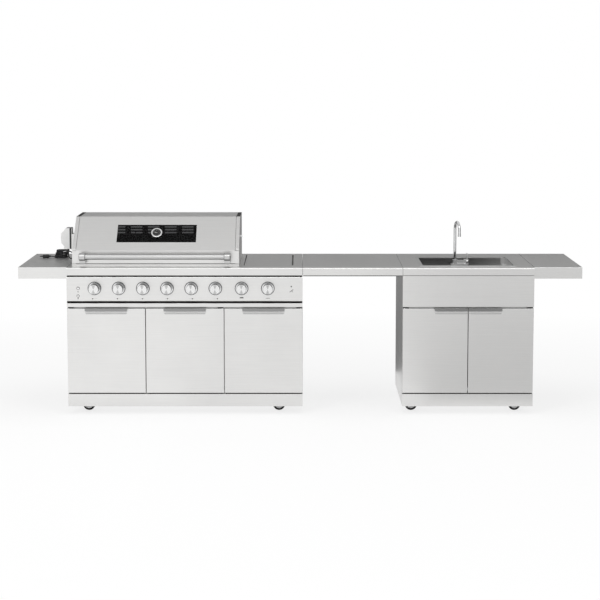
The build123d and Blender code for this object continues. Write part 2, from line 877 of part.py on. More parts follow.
left_end_panel = end_panel((hood_left, hood_left + end_panel_width), (hood_left, hood_left + sheet))
right_end_panel = end_panel((hood_right - end_panel_width, hood_right), (hood_right - sheet, hood_right))
write("hood_surround", left_end_panel, right_end_panel, vent_panel())


# Lid: bent sheet with a full-width front band, hinge plates, window, gauge and handle

inner_bend = hood_bend + sheet / slope_lean - sheet * math.hypot(1, 1 / slope_lean)
inner_crest = hood_crest - sheet * slope_lean + sheet * math.hypot(1, slope_lean)
lid_section = [(hood_front, hood_bottom), (hood_front, hood_bend), (hood_crest, hood_top),
               (hood_back, hood_top), (hood_back, hood_top - sheet), (inner_crest, hood_top - sheet),
               (hood_front + sheet, inner_bend), (hood_front + sheet, hood_bottom)]
lid = side_profile(lid_section, fire_x)
lid += block((hood_left, hood_right), (hood_front, hood_front + sheet), (hood_bottom, hood_bend - sheet))

spit_rise = spit_height - lid_hinge_height
spit_run = lid_hinge_depth - spit_depth
plate_turn = math.atan2(spit_rise, spit_run)
plate_turn += math.asin((spit_radius + hinge_plate_clearance) / math.hypot(spit_rise, spit_run))
plate_tip = (lid_hinge_depth - hinge_plate_reach * math.cos(plate_turn),
             lid_hinge_height + hinge_plate_reach * math.sin(plate_turn))
hinge_plate = [(lid_hinge_depth + lid_boss_radius, lid_hinge_height),
               (lid_hinge_depth + lid_boss_radius, hood_top - sheet), (inner_crest, hood_top - sheet),
               plate_tip, (lid_hinge_depth - lid_boss_radius, lid_hinge_height)]
left_plate_x = (fire_x[0], fire_x[0] + sheet)
right_plate_x = (fire_x[1] - sheet, fire_x[1])
for plate_x, pin_x in ((left_plate_x, (hood_left + sheet, left_plate_x[1])),
                       (right_plate_x, (right_plate_x[0], hood_right - sheet))):
    lid += side_profile(hinge_plate, plate_x)
    lid += rod_along_x(plate_x, lid_hinge_depth, lid_hinge_height, lid_boss_radius)
    lid += rod_along_x(pin_x, lid_hinge_depth, lid_hinge_height, lid_pin_radius)

slope_turn = math.atan(slope_lean)
window_middle = hood_bend + window_rise + window_height / 2
window_place = point((hood_middle, hood_front + (window_middle - hood_bend) * slope_lean, window_middle))
window_plane = Plane(window_place, x_dir=(1, 0, 0), z_dir=(0, -math.cos(slope_turn), math.sin(slope_turn)))
window_length = window_height / math.cos(slope_turn)
lid -= window_plane * Box(window_width, window_length, 4 * sheet)
write("lid_shell", lid)

glass = Box(window_width + 2 * glass_lap, window_length + 2 * glass_lap, glass_thickness)
glass = Pos(0, 0, -sheet - glass_thickness / 2) * glass
glass -= Cylinder(gauge_stem_radius + running_clearance, 4 * glass_thickness)
write("lid_window", window_plane * glass)

gauge = Pos(0, 0, -sheet) * Cylinder(gauge_radius, gauge_reach + sheet, align=standing)
gauge = fillet(gauge.faces().sort_by(Axis.Z)[-1].edges(), gauge_face_recess)
dial = Cylinder(gauge_radius - gauge_rim, gauge_face_recess, align=standing)
gauge -= Pos(0, 0, gauge_reach - gauge_face_recess) * dial
gauge += Pos(0, 0, -gauge_stem_length) * Cylinder(gauge_stem_radius, gauge_stem_length, align=standing)
write("lid_thermometer", window_plane * gauge)

handle_depth = hood_front - handle_standoff
handle_height = hood_bottom + handle_rise
handle_x = grown((hood_left, hood_right), -handle_end_inset)
handle = rod_along_x(handle_x, handle_depth, handle_height, handle_radius)
handle -= rod_along_x(grown(handle_x, -ferrule_length), handle_depth, handle_height, handle_bore_radius)
for ferrule_x in ((handle_x[0], handle_x[0] + ferrule_length), (handle_x[1] - ferrule_length, handle_x[1])):
    ferrule = rod_along_x(ferrule_x, handle_depth, handle_height, ferrule_radius)
    handle += chamfer(ferrule.edges().filter_by(GeomType.CIRCLE), ferrule_chamfer)
    foot_bottom = handle_height - handle_foot_drop
    foot = block(ferrule_x, (handle_depth, hood_front), (foot_bottom, foot_bottom + handle_foot_height))
    handle += chamfer(foot.edges().filter_by(Axis.Y), ferrule_chamfer)
write("lid_handle", handle)


# Rotisserie motor on its bracket, and the spit with two meat forks

motor_right = hood_left - motor_standoff
motor_x = (motor_right - motor_plate - motor_width, motor_right - motor_plate)
motor_span = centred(spit_depth, motor_depth)
motor_z = (spit_height - motor_drop, spit_height - motor_drop + motor_height)
gland_x = middle_of((motor_x[0] + motor_waist_width, motor_x[1]))
gland_depth = spit_depth + gland_setback
gland_tip = motor_z[0] - gland_length
waist_low = motor_z[0] + motor_base_height
motor_outline = [(motor_x[1], motor_z[0]), (motor_x[1], motor_z[1]),
                 (motor_x[0] + motor_shoulder_width, motor_z[1]),
                 (motor_x[0], motor_z[1] - motor_shoulder_height),
                 (motor_x[0], waist_low + motor_waist_height),
                 (motor_x[0] + motor_waist_width, waist_low), (motor_x[0] + motor_waist_width, motor_z[0])]
motor_face = make_face(Polyline(*[(x, y_at(motor_span[0]), z) for x, z in motor_outline], close=True))
motor = extrude(motor_face, amount=motor_depth, dir=(0, 1, 0))
motor += block((motor_x[1], motor_right), motor_span, motor_z)
motor += Plane(point((gland_x, gland_depth, gland_tip))) * Cone(
    gland_tip_radius, gland_radius, gland_length, align=standing)
motor -= rod_along_x((motor_x[1], motor_right), spit_depth, spit_height, spit_radius + running_clearance)

bracket_x = (motor_right, hood_left)
bracket_span = centred(spit_depth, bracket_depth)
bracket_z = (spit_height - bracket_drop, spit_height + bracket_rise)
bracket = block(bracket_x, bracket_span, bracket_z)
bracket -= block(grown(bracket_x, -bracket_sheet), grown(bracket_span, -bracket_sheet), bracket_z)
bracket += block((motor_right, motor_right + bracket_sheet), bracket_span, (bracket_z[0], motor_z[1]))
bracket -= rod_along_x(bracket_x, spit_depth, spit_height, spit_radius + face_clearance)
write("rotisserie_motor", motor, bracket)

spit_x = (motor_x[1] + face_clearance, hood_right + spit_overhang)
spit = rod_along_x(spit_x, spit_depth, spit_height, spit_radius)
for side in (-1, 1):
    x = hood_middle + side * spit_fork_spacing / 2
    spit += rod_along_x(centred(x, spit_fork_hub_length), spit_depth, spit_height, spit_fork_hub_radius)
    arm_z = grown((spit_height, spit_height), spit_prong_spread)
    spit += block(centred(x, 2 * spit_prong_radius), centred(spit_depth, 2 * spit_prong_radius), arm_z)
    for prong_height in arm_z:
        spit += rod_along_x((x, x - side * spit_prong_length), spit_depth, prong_height, spit_prong_radius)
write("spit_rod", spit)


# Side burner under a lift-off lid

pan_top = counter_height - sheet
pan_bottom = pan_top - burner_pan_depth
pan_floor = pan_bottom + sheet
lip_top = counter_height - burner_lid_skirt
pan_lip_z = (lip_top - sheet, lip_top)
burner_middle = middle_of(burner_lid_depth)
ring_top = pan_floor + burner_ring_height
pan = block(grown(well_x, sheet), grown(well_depth, sheet), (pan_bottom, pan_top))
pan -= block(well_x, well_depth, (pan_floor, pan_top))
pan += block(well_x, well_depth, pan_lip_z) - block(
    grown(well_x, -burner_pan_lip), grown(well_depth, -burner_pan_lip), pan_lip_z)
ring = rod_upright(side_knob, burner_middle, (pan_floor, ring_top), burner_ring_radius)
ring -= rod_upright(side_knob, burner_middle, (pan_floor, ring_top), burner_ring_bore)
cap = rod_upright(side_knob, burner_middle, (ring_top, ring_top + burner_cap_height), burner_cap_radius)


def trivet():
    top = lip_top - sheet - side_clearance
    z = (top - trivet_height, top)
    reach = trivet_span / 2 - trivet_bar / 2
    frame = block(centred(side_knob, trivet_span), centred(burner_middle, trivet_bar), z)
    frame += block(centred(side_knob, trivet_bar), centred(burner_middle, trivet_span), z)
    for across, along in ((reach, 0), (-reach, 0), (0, reach), (0, -reach)):
        foot_x = centred(side_knob + across, trivet_bar)
        frame += block(foot_x, centred(burner_middle + along, trivet_bar), (pan_floor, top))
    return frame


write("side_burner", pan, ring, cap, trivet())
burner_lid = block(burner_lid_x, burner_lid_depth, (lip_top, counter_height))
lid_hollow_z = (lip_top, counter_height - sheet)
burner_lid -= block(grown(burner_lid_x, -sheet), grown(burner_lid_depth, -sheet), lid_hollow_z)
write("burner_lid", burner_lid)


# Sink bowl with a sunk ledge for the faucet, and its drain

ledge_height = counter_height - sink_ledge_drop
sink_bottom = counter_height - sink_bowl_drop
flange_top = counter_height + sink_flange_thickness
outer_corner = sink_corner + sheet
sink_outer_x = grown(sink_x, sheet)
bowl = rounded_block(grown(sink_x, sink_flange), grown(sink_depth, sink_flange),
                     (counter_height, flange_top), sink_corner)
upper_z = (ledge_height - sheet, flange_top)
lower_z = (sink_bottom - sheet, ledge_height)
bowl += rounded_block(sink_outer_x, grown(sink_depth, sheet), upper_z, outer_corner)
bowl += rounded_block(sink_outer_x, grown(bowl_depth, sheet), lower_z, outer_corner)
bowl -= rounded_block(sink_x, sink_depth, (ledge_height, flange_top), sink_corner)
bowl -= rounded_block(sink_x, bowl_depth, (sink_bottom, ledge_height), sink_corner)
bowl -= rod_upright(drain_x, drain_depth, (sink_bottom - sheet, sink_bottom), drain_radius + seat_clearance)


def drain():
    low = sink_bottom - drain_body_length
    tail_low = low - drain_tail_length
    cup = rod_upright(drain_x, drain_depth, (sink_bottom, sink_bottom + sheet), drain_flange_radius)
    cup += rod_upright(drain_x, drain_depth, (low, sink_bottom), drain_radius)
    cup += rod_upright(drain_x, drain_depth, (tail_low, low), drain_tail_radius)
    cup -= rod_upright(drain_x, drain_depth, (low + sheet, sink_bottom - sheet), drain_radius - sheet)
    cup -= rod_upright(drain_x, drain_depth, (tail_low, low + sheet), drain_tail_radius - sheet)
    strainer_z = (sink_bottom - sheet, sink_bottom + sheet)
    for i in range(drain_hole_count):
        turn = 2 * math.pi * i / drain_hole_count
        hole_x = drain_x + drain_hole_ring * math.cos(turn)
        hole_depth = drain_depth + drain_hole_ring * math.sin(turn)
        cup -= rod_upright(hole_x, hole_depth, strainer_z, drain_hole_radius)
    return cup


write("sink_bowl", bowl, drain())


# Faucet: base, swivelling spout and lever

faucet_x = drain_x + faucet_offset
faucet_depth = sink_depth[1] - faucet_setback
post_x = faucet_x + post_offset
lever_x = faucet_x + lever_offset
base_top = ledge_height + faucet_base_height
pedestal_top = base_top + pedestal_height
post_low = pedestal_top + face_clearance
valve_x = (lever_x - valve_block_width, lever_x)
valve_span = centred(faucet_depth, 2 * lever_radius + 2 * sheet)
lever_height = base_top + valve_block_height - lever_radius - sheet
socket_z = (pedestal_top - spigot_length - side_clearance, pedestal_top)
faucet = rounded_block(centred(faucet_x, faucet_base_width), centred(faucet_depth, faucet_base_depth),
                       (ledge_height, base_top), sink_corner)
faucet += rod_upright(post_x, faucet_depth, (base_top, pedestal_top), pedestal_radius)
faucet += block((post_x, valve_x[1]), valve_span, (base_top, base_top + faucet_body_height))
faucet += block(valve_x, valve_span, (base_top, base_top + valve_block_height))
faucet -= rod_upright(post_x, faucet_depth, socket_z, spigot_radius + running_clearance)
faucet -= rod_along_x((valve_x[0] + sheet, lever_x), faucet_depth, lever_height,
                      lever_spindle_radius + running_clearance)
write("faucet_body", faucet)

bend_height = ledge_height + spout_height - spout_radius - spout_bend
tip_depth = faucet_depth - 2 * spout_bend
tip_height = bend_height - spout_drop
post_foot = point((post_x, faucet_depth, post_low))
bend_start = point((post_x, faucet_depth, bend_height))
bend_top = point((post_x, faucet_depth - spout_bend, bend_height + spout_bend))
bend_end = point((post_x, tip_depth, bend_height))
neck = Line(post_foot, bend_start) + ThreePointArc(bend_start, bend_top, bend_end)
neck += Line(bend_end, point((post_x, tip_depth, tip_height)))
spout = sweep(Plane(post_foot) * Circle(spout_radius), path=neck)
spout += rod_upright(post_x, tip_depth, (tip_height - aerator_length, tip_height), aerator_radius)
spout += rod_upright(post_x, faucet_depth, (pedestal_top - spigot_length, post_low), spigot_radius)
write("faucet_spout", spout.rotate(Axis(post_foot, (0, 0, 1)), spout_swing))

hub_x = (lever_x + face_clearance, lever_x + face_clearance + lever_hub_width)
lever = rod_along_x(hub_x, faucet_depth, lever_height, lever_radius)
lever += rod_along_x((valve_x[0] + 2 * sheet, hub_x[0]), faucet_depth, lever_height, lever_spindle_radius)
lever += block(centred(middle_of(hub_x), lever_thickness), centred(faucet_depth, 2 * lever_thickness),
               (lever_height, lever_height + lever_length))
write("faucet_lever", lever)


# Power cord: plug, lead, hank of loops in leaning layers, and the lead up to the motor's gland

cord_floor = counter_height + cord_radius + cord_lift


def front_run(column):
    return hank_depth - hank_inner_radius - column * hank_pitch


def back_run(column):
    return hank_depth + hank_inner_radius + column * hank_pitch


def layer_height(layer):
    return cord_floor + layer * hank_pitch


def layer_ends(layer):
    return centred(hank_x + layer * hank_lean, hank_run)


def straight(start, end):
    return [Line(point(start), point(end))]


def climb(start, end):
    rise = (end[2] - start[2]) / 2
    run = (end[0] - start[0]) / 2
    radius = (run ** 2 + rise ** 2) / (2 * rise)
    bow = radius - math.sqrt(radius ** 2 - run ** 2 / 4)
    middle = (start[0] + run, start[1], start[2] + rise)
    lower = (start[0] + run / 2, start[1], start[2] + bow)
    upper = (end[0] - run / 2, end[1], end[2] - bow)
    return [ThreePointArc(point(start), point(lower), point(middle)),
            ThreePointArc(point(middle), point(upper), point(end))]


def half_turn(x, from_depth, to_depth, z, side):
    crest_x = x + side * abs(to_depth - from_depth) / 2
    crest = (crest_x, middle_of((from_depth, to_depth)), z)
    return [ThreePointArc(point((x, from_depth, z)), point(crest), point((x, to_depth, z)))]


def hank_edges():
    low, high = layer_ends(0)
    edges = straight((low, front_run(1), cord_floor), (high, front_run(1), cord_floor))
    for layer in range(hank_layers):
        z = layer_height(layer)
        low, high = layer_ends(layer)
        outer = 1 - layer % 2
        after = layer % 2
        edges += half_turn(high, front_run(outer), back_run(outer), z, 1)
        edges += straight((high, back_run(outer), z), (low, back_run(outer), z))
        edges += half_turn(low, back_run(outer), front_run(after), z, -1)
        climbs = layer < hank_layers - 1
        run_end_layer = layer + 1 if climbs else layer
        run_end = (layer_ends(run_end_layer)[1], front_run(after), layer_height(run_end_layer))
        run = climb if climbs else straight
        edges += run((low, front_run(after), z), run_end)
    return edges


def lead_radii(points):
    radii = []
    for before, here, after in zip(points, points[1:], points[2:]):
        arriving = point(here) - point(before)
        leaving = point(after) - point(here)
        half_angle = math.radians(arriving.get_angle(leaving)) / 2
        radii.append(bend_share * min(arriving.length, leaving.length) / math.tan(half_angle))
    return radii


def lead_path(points):
    return FilletPolyline(*map(point, points), radius=lead_radii(points))


def tube(path):
    return sweep(Plane(path @ 0, z_dir=path % 0) * Circle(cord_radius), path=path)


def least_self_gap(path, step):
    count = int(path.length / step)
    places = [path @ (i / count) for i in range(count + 1)]
    apart = int(4 * cord_radius / step)
    gaps = ((places[i] - places[j]).length for i in range(count + 1) for j in range(i + apart, count + 1))
    return min(gaps) - 2 * cord_radius


hank_start = (layer_ends(0)[0], front_run(1), cord_floor)
hank_end = (layer_ends(hank_layers - 1)[1], front_run(1), layer_height(hank_layers - 1))
plug_lead_points = [
    (-1604.0, 413.0, 924.0),
    (-1588.5, 413.0, 924.0),
    (-1573.0, front_run(1), cord_floor),
    hank_start,
]
motor_lead_points = [
    hank_end,
    (-1493.0, front_run(1), hank_end[2]),
    (-1469.0, 404.0, 954.0),
    (-1452.0, 378.0, 943.0),
    (-1445.0, 345.0, 931.0),
    (-1447.0, 312.0, 925.0),
    (-1453.0, 283.0, 928.0),
    (-1459.5, 261.0, 937.0),
    (gland_x, gland_depth, 955.0),
    (gland_x, gland_depth, gland_tip),
]
plug_lead = lead_path(plug_lead_points)
motor_lead = lead_path(motor_lead_points)
hank = Wire(hank_edges())
write("power_cord", tube(plug_lead), tube(motor_lead))
write("cord_hank", tube(hank))
print("plug lead radii", [round(radius, 1) for radius in lead_radii(plug_lead_points)])
print("motor lead radii", [round(radius, 1) for radius in lead_radii(motor_lead_points)])
print("cord length", round(plug_lead.length + motor_lead.length + hank.length))
hank_gap = round(least_self_gap(hank, gap_step), 2)
print("least gap in the hank", hank_gap, "where over", least_cord_gap, "is needed")

plug_tail_x, plug_depth, plug_z = plug_lead_points[0]
plug_x = (plug_tail_x - plug_tail_length - plug_length, plug_tail_x - plug_tail_length)
plug = block(plug_x, centred(plug_depth, plug_width), centred(plug_z, plug_thickness))
plug = fillet(plug.edges().filter_by(Axis.X), plug_round)
plug += Plane(point((plug_x[1], plug_depth, plug_z)), z_dir=(1, 0, 0)) * Cone(
    plug_tail_radius, plug_tail_tip, plug_tail_length, align=standing)
for pin_depth in centred(plug_depth, plug_pin_spacing):
    plug += rod_along_x((plug_x[0] - plug_pin_length, plug_x[0]), pin_depth, plug_z, plug_pin_radius)
write("power_plug", plug)
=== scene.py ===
import json
import math

import bmesh
import bpy
from mathutils import Matrix, Vector


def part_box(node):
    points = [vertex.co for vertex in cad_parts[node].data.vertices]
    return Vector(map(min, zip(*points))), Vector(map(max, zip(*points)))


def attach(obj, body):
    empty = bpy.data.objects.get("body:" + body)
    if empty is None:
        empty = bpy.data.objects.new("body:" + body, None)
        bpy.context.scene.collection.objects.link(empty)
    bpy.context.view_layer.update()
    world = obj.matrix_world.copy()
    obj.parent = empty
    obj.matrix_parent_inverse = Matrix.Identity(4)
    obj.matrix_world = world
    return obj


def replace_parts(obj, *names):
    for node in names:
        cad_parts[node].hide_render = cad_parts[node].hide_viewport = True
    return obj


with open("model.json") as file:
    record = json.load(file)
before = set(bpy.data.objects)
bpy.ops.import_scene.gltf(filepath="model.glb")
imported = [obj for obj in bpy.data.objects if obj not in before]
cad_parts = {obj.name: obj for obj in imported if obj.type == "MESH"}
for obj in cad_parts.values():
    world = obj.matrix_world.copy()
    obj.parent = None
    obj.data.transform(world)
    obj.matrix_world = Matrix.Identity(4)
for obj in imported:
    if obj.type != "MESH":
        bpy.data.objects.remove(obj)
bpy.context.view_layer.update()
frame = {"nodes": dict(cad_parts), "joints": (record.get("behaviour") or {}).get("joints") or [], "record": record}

nodes = frame["nodes"]
print("frame loaded with", len(nodes), "nodes")

# camera: straight on and a little above the worktops
camera = {"place": (-0.00125, -8.4834, 2.150), "down": 4.861, "lens": 81.142, "shift": -0.2}

cameraData = bpy.data.cameras.new("kitchenCamera")
cameraData.lens = camera["lens"]
cameraData.shift_y = camera["shift"]
cameraObject = bpy.data.objects.new("kitchenCamera", cameraData)
cameraObject.location = camera["place"]
cameraObject.rotation_euler = (math.radians(90 - camera["down"]), 0, 0)
bpy.context.collection.objects.link(cameraObject)
bpy.context.scene.camera = cameraObject
bpy.context.scene.view_settings.view_transform = "Standard"
print("camera set")


# node helpers: a socket is linked, anything else is set on the input
def newPaint(name):
    paint = bpy.data.materials.new(name)
    paint.use_nodes = True
    return paint, paint.node_tree, paint.node_tree.nodes["Principled BSDF"]


def feed(tree, socket, value):
    if isinstance(value, bpy.types.NodeSocket):
        tree.links.new(value, socket)
    else:
        socket.default_value = value


def addNode(tree, kind, sockets=None, **settings):
    node = tree.nodes.new("ShaderNode" + kind)
    for key, value in settings.items():
        setattr(node, key, value)
    for key, value in (sockets or {}).items():
        feed(tree, node.inputs[key], value)
    return node


def maths(tree, operation, first, second=0.0):
    return addNode(tree, "Math", {0: first, 1: second}, operation=operation).outputs[0]


def times(tree, first, second):
    return maths(tree, "MULTIPLY", first, second)


# masks are 1 where they hold and 0 elsewhere
def above(tree, value, level):
    return maths(tree, "GREATER_THAN", value, level)


def below(tree, value, level):
    return maths(tree, "LESS_THAN", value, level)


def both(tree, first, second):
    return times(tree, first, second)


def either(tree, first, second):
    return maths(tree, "MAXIMUM", first, second)


def unsigned(tree, value):
    return maths(tree, "ABSOLUTE", value)


def noiseAt(tree, place, scale, detail=2.0, rough=0.5):
    sockets = {"Vector": place, "Scale": scale, "Detail": detail, "Roughness": rough}
    return addNode(tree, "TexNoise", sockets).outputs[0]


def ramp(tree, value, low, high, toLow, toHigh):
    sockets = {"Value": value, "From Min": low, "From Max": high, "To Min": toLow, "To Max": toHigh}
    return addNode(tree, "MapRange", sockets).outputs[0]


def blendColour(tree, factor, first, second):
    node = addNode(tree, "Mix", data_type="RGBA")
    for socket, value in zip((node.inputs[0], node.inputs[6], node.inputs[7]), (factor, first, second)):
        feed(tree, socket, value)
    return node.outputs[2]


def blendNumber(tree, factor, first, second):
    return addNode(tree, "Mix", {0: factor, 2: first, 3: second}, data_type="FLOAT").outputs[0]


def stretch(tree, place, scale):
    return addNode(tree, "Mapping", {"Vector": place, "Scale": scale}).outputs[0]


def splitPlace(tree, socket):
    return addNode(tree, "SeparateXYZ", {0: socket}).outputs


def roughen(tree, shader, height, strength, distance):
    sockets = {"Height": height, "Strength": strength, "Distance": distance}
    feed(tree, shader.inputs["Normal"], addNode(tree, "Bump", sockets).outputs[0])


def withAlpha(colour):
    return (*colour, 1.0)


def linkedTo(shader, key):
    return shader.inputs[key].links[0].from_socket


# paint helpers: spans of a noise's tone, and how squarely a face looks along an axis
toneSpan = (0.35, 0.65)
glossSpan = (0.3, 0.7)
squareOn = 0.9
mostly = 0.7
slightly = 0.3


def mixTones(tree, first, second, share):
    return maths(tree, "ADD", times(tree, first, share), times(tree, second, 1 - share))


def toned(tree, tone, span, first, second):
    return blendColour(tree, ramp(tree, tone, *span, 0.0, 1.0), withAlpha(first), withAlpha(second))


def setGloss(tree, shader, tone, roughness, duller, glossier=0.0):
    # rougher where the tone is low, smoother where it is high
    feed(tree, shader.inputs["Roughness"],
         ramp(tree, tone, *glossSpan, roughness + duller, roughness - glossier))


def recolour(tree, shader, mask, colour):
    base = linkedTo(shader, "Base Color")
    feed(tree, shader.inputs["Base Color"], blendColour(tree, mask, base, withAlpha(colour)))


def overpaint(tree, shader, mask, colour, metallic, roughness):
    recolour(tree, shader, mask, colour)
    rough = linkedTo(shader, "Roughness")
    feed(tree, shader.inputs["Roughness"], blendNumber(tree, mask, rough, roughness))
    metal = shader.inputs["Metallic"]
    if metal.links or metallic != metal.default_value:
        before = metal.links[0].from_socket if metal.links else metal.default_value
        feed(tree, metal, blendNumber(tree, mask, before, metallic))


def fromMiddle(tree, across, up):
    # squares of the distance from the middle of a round piece and of its upward part, in widths of its box
    flat = maths(tree, "SUBTRACT", across, 0.5)
    tall = maths(tree, "SUBTRACT", up, 0.5)
    tallSquare = times(tree, tall, tall)
    return maths(tree, "ADD", times(tree, flat, flat), tallSquare), tallSquare


# brushed sheet: long streaks along the sheet, along the depth on faces that look sideways
steel = {"colour": (0.775, 0.772, 0.762), "worn": (0.715, 0.712, 0.705), "roughness": 0.33,
         "duller": 0.06, "glossier": 0.05, "streaks": 620.0, "streakLength": 4.0, "haze": 2.6,
         "streakShare": 0.55, "span": (0.36, 0.64), "bump": 0.05, "bumpDepth": 0.0003}


def brushedSheet(name, look):
    paint, tree, shader = newPaint(name)
    place = addNode(tree, "TexCoord").outputs
    fine, long = look["streaks"], look["streakLength"]
    sideways = above(tree, unsigned(tree, splitPlace(tree, place["Normal"])[0]), mostly)
    grainPlace = addNode(tree, "Mix", data_type="VECTOR")
    feed(tree, grainPlace.inputs[0], sideways)
    feed(tree, grainPlace.inputs[4], stretch(tree, place["Object"], (long, fine, fine)))
    feed(tree, grainPlace.inputs[5], stretch(tree, place["Object"], (fine, long, fine)))
    grain = noiseAt(tree, grainPlace.outputs[1], 1.0, detail=3.0, rough=0.6)
    haze = noiseAt(tree, place["Object"], look["haze"], detail=4.0, rough=0.55)
    tone = mixTones(tree, grain, haze, look["streakShare"])
    feed(tree, shader.inputs["Base Color"], toned(tree, tone, look["span"], look["worn"], look["colour"]))
    shader.inputs["Metallic"].default_value = 1.0
    setGloss(tree, shader, tone, look["roughness"], look["duller"], look["glossier"])
    roughen(tree, shader, grain, look["bump"], look["bumpDepth"])
    return paint, tree, shader, place


sheetSteel = brushedSheet("brushed_sheet", steel)[0]

# sink bowl: satin painted dark as the shade inside the deep bowl, with painted light at its right end, the painted
# shade lifted below the faucet's ledge, and plain steel on its flange
# the dark base colour is painted shade
bowlShadeLook = dict(steel, colour=(0.17, 0.17, 0.169), worn=(0.135, 0.135, 0.134), roughness=0.30, bump=0.03)
bowlLightAndShade = {"colour": (0.58, 0.58, 0.575), "roughness": 0.40, "fadeFrom": 1.06, "fadeTo": 1.292,
            "paintedLightShare": 0.36, "right": (0.44, 0.44, 0.437), "rightMetal": 0.25, "rim": 0.910,
            "deep": (0.52, 0.52, 0.516), "deepMetal": 0.6, "deepBelow": 0.8725,
            "flange": (0.71, 0.71, 0.703)}


def bowlSheet():
    paint, tree, shader, place = brushedSheet("bowl_painted_shade", bowlShadeLook)
    leftward = below(tree, splitPlace(tree, place["Normal"])[0], -mostly)
    at = splitPlace(tree, place["Object"])
    # painted light: paler towards the right end
    paintedLightShare = ramp(tree, at[0], bowlLightAndShade["fadeFrom"], bowlLightAndShade["fadeTo"], 0.0, bowlLightAndShade["paintedLightShare"])
    overpaint(tree, shader, paintedLightShare, bowlLightAndShade["colour"], 1.0, bowlLightAndShade["roughness"])
    # below the ledge the painted shade is lifted to a lighter grey
    deep = below(tree, at[2], bowlLightAndShade["deepBelow"])
    overpaint(tree, shader, deep, bowlLightAndShade["deep"], bowlLightAndShade["deepMetal"], bowlLightAndShade["roughness"])
    # painted light on the right end and on the right wall, which looks left
    litRightEnd = either(tree, leftward, above(tree, at[0], bowlLightAndShade["fadeTo"]))
    litRightEnd = both(tree, litRightEnd, below(tree, at[2], bowlLightAndShade["rim"]))
    overpaint(tree, shader, litRightEnd, bowlLightAndShade["right"], bowlLightAndShade["rightMetal"], bowlLightAndShade["roughness"])
    flange = above(tree, at[2], bowlLightAndShade["rim"])
    overpaint(tree, shader, flange, bowlLightAndShade["flange"], 1.0, steel["roughness"])
    return paint


shadedBowlSteel = bowlSheet()

# lid: smoke has darkened its inner faces
# this dark colour is soot on the lid's inner faces, and painted shade and reflection on the hood ends and burners
sootAndShade = {"colour": (0.020, 0.019, 0.018), "roughness": 0.50}


def smokedSheet(name, insideOf):
    paint, tree, shader, place = brushedSheet(name, steel)
    overpaint(tree, shader, insideOf(tree, place), sootAndShade["colour"], 1.0, sootAndShade["roughness"])
    return paint


def underLid(tree, place):
    facing = splitPlace(tree, place["Normal"])
    return either(tree, above(tree, facing[1], slightly), below(tree, facing[2], -slightly))


lidSteel = smokedSheet("lid_sheet", underLid)

# hood ends and rear vent panel: the vent's front is dark with soot and painted shade of the hood's inside, and a
# painted dark reflection runs as a strip along the top of both ends
hoodEnds = {"stripHeight": 1.15, "ventDepth": 0.05}


def insideHood(tree, place):
    facing = splitPlace(tree, place["Normal"])
    at = splitPlace(tree, place["Object"])
    # soot and painted shade on the vent's front
    shadedVentFront = both(tree, below(tree, facing[1], -mostly), above(tree, at[1], hoodEnds["ventDepth"]))
    # painted dark reflection along the top of both ends
    darkReflectionStrip = both(tree, above(tree, facing[2], squareOn), above(tree, at[2], hoodEnds["stripHeight"]))
    return either(tree, darkReflectionStrip, shadedVentFront)


hoodSteel = smokedSheet("hood_end_sheet", insideHood)

# firebox: enamelled below the worktop, bare sheet in the strip that shows under the hood
fireboxLook = {"bareAbove": 0.9142, "enamel": (0.028, 0.028, 0.029), "roughness": 0.42}


def fireboxSheet():
    paint, tree, shader, place = brushedSheet("firebox_sheet", steel)
    coated = below(tree, splitPlace(tree, place["Object"])[2], fireboxLook["bareAbove"])
    overpaint(tree, shader, coated, fireboxLook["enamel"], 0.0, fireboxLook["roughness"])
    return paint


fireboxCoat = fireboxSheet()

# burners: bare tubes, and a burner behind the spit painted dark as soot and as the shade inside the closed hood
sootAndShadeAbove = 0.925


def sootedPart(tree, place):
    # painted dark: soot, and the shade inside the closed hood
    return above(tree, splitPlace(tree, place["Object"])[2], sootAndShadeAbove)


burnerSteel = smokedSheet("burner_sheet", sootedPart)

# doors: black bushes at the hinge corners, painted shade on the side edges in the gaps, a folded pull along the
# top painted darker as shade, and painted light on the top edge
doorLook = {"bushAbove": 0.6627, "bushBelow": 0.1338, "bushAndGapShade": (0.03, 0.03, 0.03), "bushRoughness": 0.5,
            "pullFront": -0.2815, "pull": (0.30, 0.30, 0.298),
            "gapShadeFrom": -0.2775, "gapShadeSpans": [(-1.40, -0.02), (0.66, 1.40)],
            "edgeAbove": 0.655, "edge": (0.62, 0.62, 0.615), "edgeRoughness": 0.5}


def doorSheet():
    paint, tree, shader, place = brushedSheet("door_sheet", steel)
    at = splitPlace(tree, place["Object"])
    facing = splitPlace(tree, place["Normal"])
    # painted shade on the folded pull
    pull = below(tree, at[1], doorLook["pullFront"])
    overpaint(tree, shader, pull, doorLook["pull"], 1.0, steel["roughness"])
    # painted light on the top edge, which sits under the dark rail
    litTopEdge = both(tree, above(tree, facing[2], squareOn), above(tree, at[2], doorLook["edgeAbove"]))
    overpaint(tree, shader, litTopEdge, doorLook["edge"], 1.0, doorLook["edgeRoughness"])
    # painted shade on the side edges inside the gaps between the doors
    spans = [both(tree, above(tree, at[0], low), below(tree, at[0], high))
             for low, high in doorLook["gapShadeSpans"]]
    sides = both(tree, above(tree, unsigned(tree, facing[0]), squareOn), either(tree, *spans))
    gapShade = both(tree, sides, above(tree, at[1], doorLook["gapShadeFrom"]))
    bushes = either(tree, above(tree, at[2], doorLook["bushAbove"]),
                    below(tree, at[2], doorLook["bushBelow"]))
    overpaint(tree, shader, either(tree, gapShade, bushes), doorLook["bushAndGapShade"], 0.0, doorLook["bushRoughness"])
    return paint


doorSteel = doorSheet()

